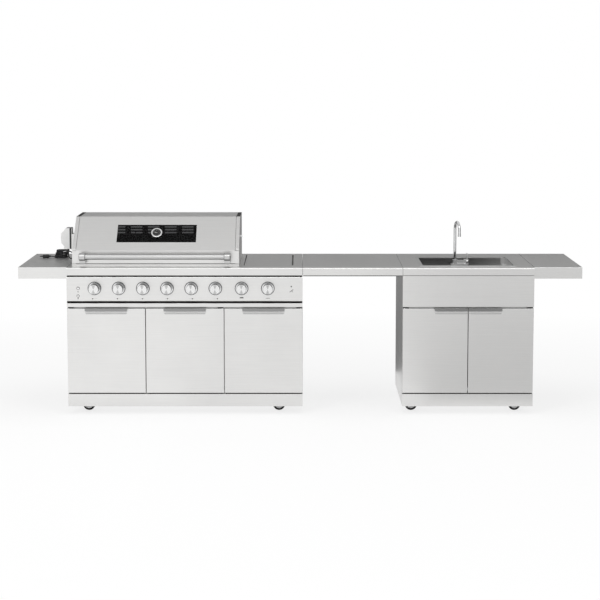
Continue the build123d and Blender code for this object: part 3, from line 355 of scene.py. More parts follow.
# knobs: turned faces with fine rings round their own axis, two darker wedges of painted reflection and sides
# painted dark as shade
knobLook = {"colour": (0.86, 0.86, 0.855), "ring": (0.74, 0.74, 0.74), "across": 0.066, "rings": 2600.0,
            "roughness": 0.24, "duller": 0.06, "stretch": 0.75, "bump": 0.08, "bumpDepth": 0.0002,
            "wedgeReflection": (0.50, 0.50, 0.50), "wedgeFrom": 0.70, "side": (0.055, 0.055, 0.056), "sideBelow": 0.6}


def turnedSteel(name, look):
    paint, tree, shader = newPaint(name)
    place = addNode(tree, "TexCoord").outputs
    at = splitPlace(tree, place["Generated"])
    reachSquare, upSquare = fromMiddle(tree, at[0], at[2])
    reach = times(tree, maths(tree, "SQRT", reachSquare), look["across"])
    # painted reflection: darker wedges above and below the middle
    wedgeReflection = ramp(tree, maths(tree, "DIVIDE", upSquare, reachSquare), look["wedgeFrom"], 1.0, 0.0, 1.0)
    # painted shade on the knob's sides
    side = below(tree, unsigned(tree, splitPlace(tree, place["Normal"])[1]), look["sideBelow"])
    ringPlace = addNode(tree, "CombineXYZ", {0: times(tree, reach, look["rings"]), 1: at[1]}).outputs[0]
    rings = noiseAt(tree, ringPlace, 1.0, rough=0.6)
    face = toned(tree, rings, glossSpan, look["ring"], look["colour"])
    face = blendColour(tree, wedgeReflection, face, withAlpha(look["wedgeReflection"]))
    feed(tree, shader.inputs["Base Color"], blendColour(tree, side, face, withAlpha(look["side"])))
    shader.inputs["Metallic"].default_value = 1.0
    setGloss(tree, shader, rings, look["roughness"], look["duller"])
    shader.inputs["Anisotropic"].default_value = look["stretch"]
    turning = addNode(tree, "Tangent", direction_type="RADIAL", axis="Y")
    feed(tree, shader.inputs["Tangent"], turning.outputs[0])
    roughen(tree, shader, rings, look["bump"], look["bumpDepth"])
    return paint


knobSteel = turnedSteel("turned_steel", knobLook)

# polished pieces: spout, spit and screws, then the faucet's body and lever, the gauge's rim and the casters
chrome = {"colour": (0.80, 0.805, 0.81), "dull": (0.70, 0.705, 0.71), "roughness": 0.09}
polishes = {
    "polished_chrome": chrome,
    "faucet_chrome": {"colour": (0.95, 0.95, 0.95), "dull": (0.88, 0.88, 0.88), "roughness": 0.28},
    "gauge_rim": {"colour": (0.93, 0.93, 0.93), "dull": (0.86, 0.86, 0.86), "roughness": 0.14},
    "caster_zinc": {"colour": (0.42, 0.43, 0.44), "dull": (0.26, 0.265, 0.27), "roughness": 0.30},
}
smear = {"scale": 38.0, "duller": 0.08, "pits": 420.0, "bump": 0.015, "bumpDepth": 0.0002}


def polished(name, look):
    paint, tree, shader = newPaint(name)
    place = addNode(tree, "TexCoord").outputs["Object"]
    smears = noiseAt(tree, place, smear["scale"], detail=5.0, rough=0.6)
    feed(tree, shader.inputs["Base Color"], toned(tree, smears, toneSpan, look["dull"], look["colour"]))
    shader.inputs["Metallic"].default_value = 1.0
    setGloss(tree, shader, smears, look["roughness"], smear["duller"])
    roughen(tree, shader, noiseAt(tree, place, smear["pits"]), smear["bump"], smear["bumpDepth"])
    return paint, tree, shader


polishPaints = [polished(name, look)[0] for name, look in polishes.items()]
chromePaint, faucetPaint, gaugeRim, casterZinc = polishPaints

# bezels: a bright flat ring between a slanted rim and an inner wall, both painted dark as shade
bezelLook = {"slantShade": (0.115, 0.115, 0.117), "roughness": 0.25}


def bezelRings():
    paint, tree, shader = polished("knob_bezel", chrome)
    facing = splitPlace(tree, addNode(tree, "TexCoord").outputs["Normal"])
    # painted shade on every face that does not look straight out
    shadedSlant = above(tree, facing[1], -squareOn)
    overpaint(tree, shader, shadedSlant, bezelLook["slantShade"], 1.0, bezelLook["roughness"])
    return paint


bezelPaint = bezelRings()

# lid handle: a duller satin than the sheets, with painted shade above, below and at the ends of its ferrules and
# feet
handleLook = dict(steel, colour=(0.58, 0.58, 0.576), worn=(0.53, 0.53, 0.526),
                  upperShade=(0.42, 0.42, 0.418), upperFrom=0.75, lowerShade=(0.17, 0.17, 0.169), lowerFrom=-0.55,
                  end=(0.22, 0.22, 0.219), endFrom=0.5)


def handleSheet():
    paint, tree, shader, place = brushedSheet("handle_satin", handleLook)
    facing = splitPlace(tree, place["Normal"])
    # painted shade on the faces looking up, down and to the ends
    masks = {"upperShade": above(tree, facing[2], handleLook["upperFrom"]),
             "lowerShade": below(tree, facing[2], handleLook["lowerFrom"]),
             "end": above(tree, unsigned(tree, facing[0]), handleLook["endFrom"])}
    for side, mask in masks.items():
        overpaint(tree, shader, mask, handleLook[side], 1.0, handleLook["roughness"])
    return paint


handleSteel = handleSheet()

# grained coats: enamel, iron, plastic and rubber differ in colour, grain and gloss
coats = {
    "dark_enamel": {"colour": (0.030, 0.030, 0.031), "worn": (0.018, 0.018, 0.018), "grain": 520.0,
                    "roughness": 0.42, "bump": 0.12},
    "cast_iron": {"colour": (0.055, 0.054, 0.053), "worn": (0.028, 0.027, 0.026), "grain": 700.0,
                  "roughness": 0.60, "bump": 0.45},
    "valve_metal": {"colour": (0.58, 0.50, 0.33), "worn": (0.45, 0.38, 0.24), "grain": 300.0,
                    "roughness": 0.36, "bump": 0.08, "metallic": 1.0},
    "cord_rubber": {"colour": (0.018, 0.018, 0.019), "worn": (0.011, 0.011, 0.011), "grain": 900.0,
                    "roughness": 0.50, "bump": 0.12, "specular": 0.35},
    "tie_strap": {"colour": (0.026, 0.026, 0.028), "worn": (0.014, 0.014, 0.015), "grain": 1500.0,
                  "roughness": 0.72, "bump": 0.5, "specular": 0.25},
    "mark_ink": {"colour": (0.045, 0.045, 0.047), "worn": (0.030, 0.030, 0.031), "grain": 600.0,
                 "roughness": 0.45, "bump": 0.05},
    "pale_mark_ink": {"colour": (0.47, 0.47, 0.465), "worn": (0.40, 0.40, 0.395), "grain": 600.0,
                      "roughness": 0.45, "bump": 0.05},
    "dial_face": {"colour": (0.012, 0.012, 0.013), "worn": (0.008, 0.008, 0.008), "grain": 600.0,
                  "roughness": 0.28, "bump": 0.04},
    "dial_mark": {"colour": (0.34, 0.34, 0.33), "worn": (0.28, 0.28, 0.27), "grain": 600.0,
                  "roughness": 0.45, "bump": 0.04},
    "dial_needle": {"colour": (0.55, 0.54, 0.52), "worn": (0.48, 0.47, 0.46), "grain": 600.0,
                    "roughness": 0.40, "bump": 0.04},
    "seam_sealant": {"colour": (0.13, 0.13, 0.132), "worn": (0.10, 0.10, 0.10), "grain": 900.0,
                     "roughness": 0.55, "bump": 0.1},
    "hinge_leaf": {"colour": (0.030, 0.030, 0.031), "worn": (0.018, 0.018, 0.019), "grain": 800.0,
                   "roughness": 0.46, "bump": 0.10},
}
coatGrain = {"patchSize": 24, "share": 0.5, "duller": 0.07, "glossier": 0.05, "bumpDepth": 0.0006}


def grained(name, look):
    paint, tree, shader = newPaint(name)
    place = addNode(tree, "TexCoord").outputs["Object"]
    grain = noiseAt(tree, place, look["grain"], detail=4.0, rough=0.6)
    patches = noiseAt(tree, place, look["grain"] / coatGrain["patchSize"], detail=3.0)
    tone = mixTones(tree, grain, patches, coatGrain["share"])
    feed(tree, shader.inputs["Base Color"], toned(tree, tone, toneSpan, look["worn"], look["colour"]))
    setGloss(tree, shader, tone, look["roughness"], coatGrain["duller"], coatGrain["glossier"])
    shader.inputs["Metallic"].default_value = look.get("metallic", 0.0)
    shader.inputs["Specular IOR Level"].default_value = look.get("specular", 0.5)
    roughen(tree, shader, grain, look["bump"], coatGrain["bumpDepth"])
    return paint, tree, shader


coatPaints = {name: grained(name, look)[0] for name, look in coats.items()}

# motor: pale housing with its top painted darker as shade, black mounting plate and cord gland, steel bracket
motorLook = {"colour": (0.80, 0.80, 0.795), "worn": (0.74, 0.74, 0.735), "grain": 800.0, "roughness": 0.42,
             "bump": 0.10, "top": (0.17, 0.17, 0.172), "topFrom": 0.8, "black": (0.016, 0.016, 0.017),
             "plateLeft": -1.4445, "plateRight": -1.4345, "glandTop": 1.0005}


def motorCoat():
    paint, tree, shader = grained("motor_housing", motorLook)
    place = addNode(tree, "TexCoord").outputs
    at = splitPlace(tree, place["Object"])
    paintedTopShade = above(tree, splitPlace(tree, place["Normal"])[2], motorLook["topFrom"])
    left, right = motorLook["plateLeft"], motorLook["plateRight"]
    bracket = above(tree, at[0], right)
    backPlate = both(tree, above(tree, at[0], left), below(tree, at[0], right))
    gland = both(tree, below(tree, at[2], motorLook["glandTop"]), below(tree, at[0], left))
    # painted shade on the top
    recolour(tree, shader, paintedTopShade, motorLook["top"])
    recolour(tree, shader, either(tree, backPlate, gland), motorLook["black"])
    recolour(tree, shader, bracket, steel["colour"])
    feed(tree, shader.inputs["Metallic"], bracket)
    return paint


motorPaint = motorCoat()

# wheels: pale hub inside a black tyre, told apart by the distance from the axle
wheelLook = {"colour": (0.016, 0.016, 0.017), "worn": (0.010, 0.010, 0.010), "grain": 700.0,
             "roughness": 0.62, "bump": 0.2, "specular": 0.12,
             "across": 0.075, "hub": 0.0245, "hubColour": (0.90, 0.905, 0.91)}


def wheelRubber(name, axle):
    # axle is 0 for wheels that turn about x and 1 for wheels that turn about y
    paint, tree, shader = grained(name, wheelLook)
    at = splitPlace(tree, addNode(tree, "TexCoord").outputs["Generated"])
    reachSquare = fromMiddle(tree, at[1 - axle], at[2])[0]
    reach = times(tree, maths(tree, "SQRT", reachSquare), wheelLook["across"])
    recolour(tree, shader, below(tree, reach, wheelLook["hub"]), wheelLook["hubColour"])
    return paint


wheelPaints = [wheelRubber("wheel_about_x", 0), wheelRubber("wheel_about_y", 1)]


def wheelPaintFor(node):
    low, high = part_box(node)
    return wheelPaints[0 if high.x - low.x < high.y - low.y else 1]


# lid window: tinted heat-proof glass with a thin film of grease
glassLook = {"tint": (0.068, 0.069, 0.070), "dim": 0.9, "ior": 1.20, "roughness": 0.02,
             "film": 14.0, "filmSpan": (0.4, 0.7), "filmRoughness": 0.05}


def tintedGlass():
    paint, tree, shader = newPaint("window_glass")
    film = noiseAt(tree, addNode(tree, "TexCoord").outputs["Object"], glassLook["film"], detail=4.0)
    shader.inputs["Transmission Weight"].default_value = 1.0
    shader.inputs["IOR"].default_value = glassLook["ior"]
    tint = withAlpha(glassLook["tint"])
    dim = withAlpha(tuple(glassLook["dim"] * part for part in glassLook["tint"]))
    feed(tree, shader.inputs["Base Color"], blendColour(tree, film, dim, tint))
    clear = glassLook["roughness"]
    feed(tree, shader.inputs["Roughness"],
         ramp(tree, film, *glassLook["filmSpan"], clear, clear + glassLook["filmRoughness"]))
    return paint


glassPaint = tintedGlass()

# every node takes the finish of its slot, and a few have their own
finishes = {
    "brushed_steel": sheetSteel, "spun_steel": knobSteel, "polished_chrome": chromePaint,
    "caster_steel": casterZinc, "caster_rubber": wheelPaints[0], "window_glass": glassPaint,
    "motor_housing": motorPaint, **coatPaints,
}
ownFinish = {
    "lid_shell": lidSteel, "hood_surround": hoodSteel, "sink_bowl": shadedBowlSteel, "firebox": fireboxCoat,
    "knob_bezels": bezelPaint, "lid_thermometer": gaugeRim, "lid_handle": handleSteel,
    "gas_burners": burnerSteel, "faucet_body": faucetPaint, "faucet_lever": faucetPaint,
}
doorNodes = [node for node in nodes if "_door_" in node]
ownFinish.update({node: doorSteel for node in doorNodes})
ownFinish.update({node: wheelPaintFor(node) for node in nodes if "_wheel_" in node})
for row in frame["record"]["subparts"]:
    piece = nodes[row["node"]]
    piece.data.materials.clear()
    piece.data.materials.append(ownFinish.get(row["node"], finishes[row["material_slot"]]))
print("finishes on", len(nodes), "nodes")

# power cord: up out of the motor's gland, over to the tied hank and on to the plug
# places are x, depth behind the shelf fronts and height
cord = {
    "diameter": 0.007, "length": 1.629, "depthZero": 0.269, "bevelSteps": 5, "lineSteps": 8,
    "hankX": -1.544, "hankRun": 0.028, "hankLean": 0.003, "hankDepth": 0.445, "innerRadius": 0.021,
    "pitch": 0.0084, "layers": 6, "floor": 0.9178, "turnPoints": 6,
    "plugLead": [(-1.604, 0.413, 0.924), (-1.5885, 0.413, 0.924), (-1.573, 0.4156, 0.9178)],
    "motorLead": [(-1.493, 0.4156, 0.9598), (-1.469, 0.404, 0.954), (-1.452, 0.378, 0.943),
                  (-1.445, 0.345, 0.931), (-1.447, 0.312, 0.925), (-1.453, 0.283, 0.928),
                  (-1.4595, 0.261, 0.937), (-1.462, 0.250, 0.955), (-1.462, 0.250, 0.976)],
}


def frontRun(column):
    return cord["hankDepth"] - cord["innerRadius"] - column * cord["pitch"]


def backRun(column):
    return cord["hankDepth"] + cord["innerRadius"] + column * cord["pitch"]


def halfTurn(x, fromDepth, toDepth, z, side):
    # control points of a turn, spread so that the smooth line meets the runs on both sides
    radius = (toDepth - fromDepth) / 2
    step = math.pi / cord["turnPoints"]
    wide = radius / math.cos(step / 2)
    turn = []
    for k in range(cord["turnPoints"]):
        angle = -math.pi / 2 + step * (k + 0.5)
        depth = fromDepth + radius + wide * math.sin(angle)
        turn.append((x + side * abs(wide) * math.cos(angle), depth, z))
    return turn


def hankTurns():
    # the layers lean to the right and pass between two columns of runs
    turns = []
    for layer in range(cord["layers"]):
        z = cord["floor"] + layer * cord["pitch"]
        middle = cord["hankX"] + layer * cord["hankLean"]
        outer, after = 1 - layer % 2, layer % 2
        turns += halfTurn(middle + cord["hankRun"] / 2, frontRun(outer), backRun(outer), z, 1)
        turns += halfTurn(middle - cord["hankRun"] / 2, backRun(outer), frontRun(after), z, -1)
    return turns


def layCord():
    route = cord["plugLead"] + hankTurns() + cord["motorLead"]
    curve = bpy.data.curves.new("power_lead", "CURVE")
    curve.dimensions = "3D"
    curve.bevel_depth = cord["diameter"] / 2
    curve.bevel_resolution = cord["bevelSteps"]
    curve.resolution_u = cord["lineSteps"]
    curve.use_fill_caps = True
    spline = curve.splines.new("NURBS")
    spline.points.add(len(route) - 1)
    for point, (x, depth, z) in zip(spline.points, reversed(route)):
        point.co = (x, depth - cord["depthZero"], z, 1)
    spline.order_u = 3
    spline.use_endpoint_u = True
    lead = bpy.data.objects.new("power_lead", curve)
    bpy.context.collection.objects.link(lead)
    curve.materials.append(coatPaints["cord_rubber"])
    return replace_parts(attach(lead, "kitchen_frame"), "power_cord", "cord_hank")


powerLead = layCord()


# mesh helpers: each piece is one object, made from loops or from outlines swept along an axis
alongX, alongY, alongZ = 0, 1, 2


def newPiece(name, mesh, paints, body):
    piece = bpy.data.objects.new(name, mesh)
    bpy.context.collection.objects.link(piece)
    for paint in paints:
        mesh.materials.append(paint)
    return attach(piece, body)


def meshFrom(name, work, smooth=False):
    bmesh.ops.recalc_face_normals(work, faces=work.faces[:])
    for face in work.faces:
        face.smooth = smooth
    mesh = bpy.data.meshes.new(name)
    work.to_mesh(mesh)
    work.free()
    return mesh


def ringOfLoops(work, loops, closed=False):
    # joins loops of equal length into a skin, and the last to the first where it closes
    made = [[work.verts.new(corner) for corner in loop] for loop in loops]
    pairs = list(zip(made, made[1:])) + ([(made[-1], made[0])] if closed else [])
    for first, second in pairs:
        for k in range(len(first)):
            after = (k + 1) % len(first)
            work.faces.new((first[k], first[after], second[after], second[k]))
    return made


def sweep(outline, axis, places):
    # copies of a flat outline at places along an axis
    return [[(*corner[:axis], place, *corner[axis:]) for corner in outline] for place in places]


def addBlock(work, outline, axis, ends):
    for loop in ringOfLoops(work, sweep(outline, axis, ends)):
        work.faces.new(loop)


def blockPiece(name, outline, axis, ends, paint, body):
    work = bmesh.new()
    addBlock(work, outline, axis, ends)
    newPiece(name, meshFrom(name, work), [paint], body)


def addPlate(work, outline, axis, under, over, paintIndex):
    # a thin patch with its own paint, lying on a face
    loops = sweep(outline, axis, (under, over))
    low, high = [[work.verts.new(corner) for corner in loop] for loop in loops]
    faces = [work.faces.new(high), work.faces.new(low[::-1])]
    for k in range(len(low)):
        after = (k + 1) % len(low)
        faces.append(work.faces.new((high[k], low[k], low[after], high[after])))
    for face in faces:
        face.material_index = paintIndex


def rectangle(low, high):
    return [(low[0], low[1]), (high[0], low[1]), (high[0], high[1]), (low[0], high[1])]


def bar(x, z, width, height):
    return rectangle((x - width / 2, z - height / 2), (x + width / 2, z + height / 2))


def disc(x, z, radius, count=20):
    turns = [2 * math.pi * k / count for k in range(count)]
    return [(x + radius * math.cos(angle), z + radius * math.sin(angle)) for angle in turns]


def arcBand(x, z, inner, outer, start, end, count=24):
    turns = [math.radians(start + (end - start) * k / count) for k in range(count + 1)]
    return ([(x + outer * math.cos(angle), z + outer * math.sin(angle)) for angle in turns]
            + [(x + inner * math.cos(angle), z + inner * math.sin(angle)) for angle in reversed(turns)])


def turned(corners, degrees):
    c, s = math.cos(math.radians(degrees)), math.sin(math.radians(degrees))
    return [(x * c - y * s, x * s + y * c) for x, y in corners]


def moved(corners, dx, dz):
    return [(x + dx, z + dz) for x, z in corners]


def roundedLoop(low, high, radius, steps):
    corners = [(high[0], high[1], 0), (low[0], high[1], 90), (low[0], low[1], 180), (high[0], low[1], 270)]
    loop = []
    for across, up, start in corners:
        cx = across - radius if across == high[0] else across + radius
        cz = up - radius if up == high[1] else up + radius
        for k in range(steps + 1):
            angle = math.radians(start + 90 * k / steps)
            loop.append((cx + radius * math.cos(angle), cz + radius * math.sin(angle)))
    return loop


# strap round the hank's front runs
tie = {"x": -1.5365, "width": 0.012, "slack": 0.0001, "under": 0.00022, "thick": 0.0009,
       "round": 0.0045, "steps": 5}


def tieStrap():
    half = cord["diameter"] / 2
    front = frontRun(1) - half - tie["slack"] - cord["depthZero"]
    back = frontRun(0) + half + tie["slack"] - cord["depthZero"]
    low = cord["floor"] - half
    high = low + (cord["layers"] - 1) * cord["pitch"] + cord["diameter"] + tie["slack"]
    inner = roundedLoop((front, low), (back, high), tie["round"], tie["steps"])
    outer = roundedLoop((front - tie["thick"], low - tie["under"]),
                        (back + tie["thick"], high + tie["thick"]), tie["round"], tie["steps"])
    ends = (tie["x"] - tie["width"] / 2, tie["x"] + tie["width"] / 2)
    nearInner, farInner = sweep(inner, alongX, ends)
    nearOuter, farOuter = sweep(outer, alongX, ends)
    work = bmesh.new()
    ringOfLoops(work, [nearInner, nearOuter, farOuter, farInner], True)
    mesh = meshFrom("hank_tie", work)
    return newPiece("hank_tie", mesh, [coatPaints["tie_strap"]], "kitchen_frame")


hankTie = tieStrap()
print("cord laid in its hank")

# printed marks on the control panel: which burner a knob works, a lamp and an igniter's sign
# bars are rise, width and height, dots are rise or step and radius
# strokes are x, rise, length, width and lean
marks = {
    "face": -0.281, "sunk": 0.0001, "raise": 0.0002, "knobHeight": 0.786, "drop": 0.0645,
    "mainKnobs": [-1.2610, -1.1128, -0.9646, -0.8164, -0.6682, -0.5200],
    "pitch": 0.0050, "ownDot": 0.003625, "otherDot": 0.00125,
    "rearKnob": -0.35925, "rearBar": (0.007, 0.022, 0.006), "teeth": [-0.009, -0.003, 0.003, 0.009],
    "tooth": (0.0018, 0.0022, 0.0022),
    "sideKnob": -0.1985, "sideBar": (0.003, 0.014, 0.0026), "sideDot": (0.0105, 0.0021),
    "lampX": -1.362, "ring": (0.0086, 0.0104), "lampDot": (-0.0215, 0.0030), "bulbRise": -0.047,
    "bulb": (0.0064, 0.0090, -58, 238), "socket": [(-0.0110, 0.0064, 0.0050), (-0.0172, 0.0044, 0.0050)],
    "signX": -0.055, "signDot": (0.011, 0.0042),
    "signStrokes": [(0.001, -0.0155, 0.029, 0.0030, 35), (0.0064, -0.0200, 0.0095, 0.0026, -55)],
}


def panelMarks():
    work = bmesh.new()
    middle = marks["knobHeight"]
    row = middle - marks["drop"]
    under, over = marks["face"] + marks["sunk"], marks["face"] - marks["raise"]
    darkInk, paleInk = 0, 1

    def printMark(corners, ink=darkInk):
        addPlate(work, corners, alongY, under, over, ink)

    count = len(marks["mainKnobs"])
    for knob, x in enumerate(marks["mainKnobs"]):
        for burner in range(count):
            place = x + (burner - (count - 1) / 2) * marks["pitch"]
            radius, ink = (marks["ownDot"], darkInk) if burner == knob else (marks["otherDot"], paleInk)
            printMark(disc(place, row, radius), ink)
    rise, width, height = marks["rearBar"]
    printMark(bar(marks["rearKnob"], row + rise, width, height))
    rise, width, height = marks["tooth"]
    for step in marks["teeth"]:
        printMark(bar(marks["rearKnob"] + step, row + rise, width, height))
    rise, width, height = marks["sideBar"]
    printMark(bar(marks["sideKnob"], row + rise, width, height))
    step, radius = marks["sideDot"]
    for side in (-step, step):
        printMark(disc(marks["sideKnob"] + side, row + rise, radius))
    lamp, bulb = marks["lampX"], middle + marks["bulbRise"]
    printMark(disc(lamp, middle + marks["lampDot"][0], marks["lampDot"][1]))
    printMark(arcBand(lamp, bulb, *marks["bulb"]))
    for rise, width, height in marks["socket"]:
        printMark(bar(lamp, bulb + rise, width, height))
    for start, end in ((0, 180), (180, 360)):
        printMark(arcBand(lamp, middle, *marks["ring"], start, end))
    for x, rise, length, width, lean in marks["signStrokes"]:
        printMark(moved(turned(bar(0, 0, length, width), lean), marks["signX"] + x, middle + rise))
    printMark(disc(marks["signX"], middle + marks["signDot"][0], marks["signDot"][1]))
    inks = [coatPaints["mark_ink"], coatPaints["pale_mark_ink"]]
    newPiece("panel_marks", meshFrom("panel_marks", work), inks, "kitchen_frame")


panelMarks()
print("panel marks printed")

# seams: grey sealant over the joints of the end shelves, and packed into the bridge's two joints
seam = {"width": 0.0026, "raise": 0.00025, "top": 0.914, "front": -0.2675, "back": 0.3285,
        "places": [-1.4315, 1.4355], "slack": 0.0001, "inset": 0.0006, "bottom": 0.867,
        "nose": 0.0074, "noseSteps": 5}


def packedJoint(work, left, right):
    low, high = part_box("bridge_counter")
    front, back, top = low.y + seam["inset"], high.y - seam["inset"], high.z - seam["inset"]
    profile = [(front, seam["bottom"]), (back, seam["bottom"]), (back, top)]
    nose = seam["nose"]
    for k in range(seam["noseSteps"] + 1):
        angle = math.radians(90 + 90 * k / seam["noseSteps"])
        profile.append((front + nose * (1 + math.cos(angle)), top - nose * (1 - math.sin(angle))))
    addBlock(work, profile, alongX, (left + seam["slack"], right - seam["slack"]))


def counterSeams():
    work = bmesh.new()
    packedJoint(work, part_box("grill_counter")[1].x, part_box("bridge_counter")[0].x)
    packedJoint(work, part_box("bridge_counter")[1].x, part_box("sink_counter")[0].x)
    for x in seam["places"]:
        outline = rectangle((x - seam["width"] / 2, seam["front"]), (x + seam["width"] / 2, seam["back"]))
        addBlock(work, outline, alongZ, (seam["top"] - seam["raise"], seam["top"] + seam["raise"]))
    mesh = meshFrom("counter_seams", work)
    newPiece("counter_seams", mesh, [coatPaints["seam_sealant"]], "kitchen_frame")


# edging: a dark strip along the lower edge of the bridge's front, put there as the shade line under it
shadeEdging = {"height": 0.0055, "thick": 0.0024, "setback": 0.0004, "endInset": 0.003,
          "round": 0.0009, "steps": 3}


def bridgeEdging():
    low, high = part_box("bridge_counter")
    front = low.y + shadeEdging["setback"]
    section = roundedLoop((front, seam["bottom"] - shadeEdging["height"]),
                          (front + shadeEdging["thick"], seam["bottom"]), shadeEdging["round"], shadeEdging["steps"])
    ends = (low.x + shadeEdging["endInset"], high.x - shadeEdging["endInset"])
    # the strip is painted shade and takes the sealant's paint
    sealant = coatPaints["seam_sealant"]
    blockPiece("bridge_shade_strip", section, alongX, ends, sealant, "kitchen_frame")


counterSeams()
bridgeEdging()
print("seams filled")

# hinge leaves: short black plates on the top edge of each door at its hinge
leaf = {"length": 0.033, "front": -0.2795, "back": -0.2655, "low": 0.6601, "high": 0.6665, "inset": 0.004,
        "round": 0.003, "steps": 4}


def hingedAtLeft(node):
    low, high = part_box(node)
    hingeX = next(row["pos_m"][0] for row in frame["joints"] if row["child"] == node)
    return abs(hingeX - low.x) < abs(high.x - hingeX)


def hingeLeaf(node):
    low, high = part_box(node)
    start = low.x + leaf["inset"] if hingedAtLeft(node) else high.x - leaf["inset"] - leaf["length"]
    outline = roundedLoop((start, leaf["front"]), (start + leaf["length"], leaf["back"]),
                          leaf["round"], leaf["steps"])
    ends = (leaf["low"], leaf["high"])
    blockPiece(f"{node}_hinge_leaf", outline, alongZ, ends, coatPaints["hinge_leaf"], node)


# door stops: thin strips under the rails, just behind the tops of the doors
stop = {"hingeInset": 0.030, "freeInset": 0.003, "front": -0.2598, "back": -0.2588,
        "low": 0.648, "high": 0.6692, "colour": (0.46, 0.46, 0.455), "worn": (0.41, 0.41, 0.406)}
stopSteel = brushedSheet("door_stop_sheet", dict(steel, colour=stop["colour"], worn=stop["worn"]))[0]


def doorStop(node):
    low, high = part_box(node)
    insets = [stop["hingeInset"], stop["freeInset"]]
    if not hingedAtLeft(node):
        insets.reverse()
    outline = rectangle((low.x + insets[0], stop["front"]), (high.x - insets[1], stop["back"]))
    ends = (stop["low"], stop["high"])
    blockPiece(f"{node}_stop", outline, alongZ, ends, stopSteel, "kitchen_frame")


# finger plates: thin plates with round lower corners on the doors, behind and below the pulls, with painted shadow
# along their lowest strip
plate = {"grillWidth": 0.258, "sinkWidth": 0.205, "face": -0.281, "thick": 0.0008, "sunk": 0.0001,
         "top": 0.655, "drop": 0.029, "round": 0.010, "steps": 6,
         "colour": (0.68, 0.68, 0.675), "worn": (0.64, 0.64, 0.635), "roughness": 0.45, "metal": 0.35,
         "edge": (0.40, 0.40, 0.397), "edgeHeight": 0.0045}


def plateSheet():
    look = dict(steel, colour=plate["colour"], worn=plate["worn"], roughness=plate["roughness"])
    paint, tree, shader, place = brushedSheet("finger_plate_sheet", look)
    shader.inputs["Metallic"].default_value = plate["metal"]
    rise = maths(tree, "SUBTRACT", splitPlace(tree, place["Object"])[2], plate["top"] - plate["drop"])
    # painted shadow along the plate's lower edge
    recolour(tree, shader, below(tree, rise, plate["edgeHeight"]), plate["edge"])
    return paint


plateSteel = plateSheet()


def pullSpan(node):
    low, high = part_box(node)
    if node.startswith("grill"):
        middle = (low.x + high.x) / 2
        return middle - plate["grillWidth"] / 2, middle + plate["grillWidth"] / 2
    return (high.x - plate["sinkWidth"], high.x) if "left" in node else (low.x, low.x + plate["sinkWidth"])


def fingerPlate(node):
    left, right = pullSpan(node)
    bottom, radius = plate["top"] - plate["drop"], plate["round"]
    outline = [(left, plate["top"]), (right, plate["top"])]
    for middle, start in ((right - radius, 0), (left + radius, -90)):
        for k in range(plate["steps"] + 1):
            angle = math.radians(start - 90 * k / plate["steps"])
            outline.append((middle + radius * math.cos(angle), bottom + radius * (1 + math.sin(angle))))
    ends = (plate["face"] + plate["sunk"], plate["face"] - plate["thick"])
    blockPiece(f"{node}_finger_plate", outline, alongY, ends, plateSteel, node)


for doorNode in doorNodes:
    hingeLeaf(doorNode)
    doorStop(doorNode)
    fingerPlate(doorNode)
print("hinge leaves, door stops and finger plates on")

# gauge dial on the lid's thermometer: ticks, needle and numbers, stacked in steps of the dial's thickness
# near is a place by the lid, as depth and height, from which the gauge's face is sought
dial = {
    "slope": (0.0, -190.0, 180.0), "near": (-0.142, 1.107), "standOff": 0.1, "fallBack": 0.09,
    "radius": 0.0262, "sides": 64, "lift": 0.00002, "raise": 0.00035, "from": 225, "to": -45,
    "ticks": 25, "longEvery": 4, "longTick": (0.0034, 0.0008), "shortTick": (0.0020, 0.0005),
    "tickEdge": 0.0012, "tickTop": 1.5, "reading": 60, "needleLow": 1.6, "needleTop": 2.4,
    "cap": 0.0024, "capTop": 3.2,
    "needle": [(-0.005, -0.0010), (0.0, -0.0013), (0.0195, -0.0002), (0.0195, 0.0002), (0.0, 0.0013),
               (-0.005, 0.0010)],
    "numbers": [100, 200, 300, 400, 500, 600], "numberHeight": 0.0046, "numberReach": 0.0172,
}
lidNormal = Vector(dial["slope"]).normalized()


def dialSpot():
    # the dial's middle on the gauge's own face
    low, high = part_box("lid_thermometer")
    aim = Vector(((low.x + high.x) / 2, *dial["near"])) + lidNormal * dial["standOff"]
    bpy.context.view_layer.update()
    found, spot = nodes["lid_thermometer"].ray_cast(aim, -lidNormal)[:2]
    return spot if found else aim - lidNormal * dial["fallBack"]


def dialFrame():
    across = Vector((1, 0, 0))
    up = lidNormal.cross(across).normalized()
    frameMatrix = Matrix((across, up, lidNormal)).transposed().to_4x4()
    frameMatrix.translation = dialSpot()
    return frameMatrix


def dialAngle(tick):
    return dial["from"] + (dial["to"] - dial["from"]) * tick / (dial["ticks"] - 1)


def dialNumber(tick, number, onLid):
    text = bpy.data.curves.new(f"dial_number_{number}", "FONT")
    text.body = str(number)
    text.size = dial["numberHeight"]
    text.align_x, text.align_y = "CENTER", "CENTER"
    shape = bpy.data.objects.new(text.name, text)
    mesh = bpy.data.meshes.new_from_object(shape)
    bpy.data.objects.remove(shape)
    angle, reach = math.radians(dialAngle(tick)), dial["numberReach"]
    spot = (reach * math.cos(angle), reach * math.sin(angle), dial["raise"] * dial["tickTop"])
    mesh.transform(onLid @ Matrix.Translation(spot))
    mesh.materials.clear()
    newPiece(text.name, mesh, [coatPaints["dial_mark"]], "hood_lid")


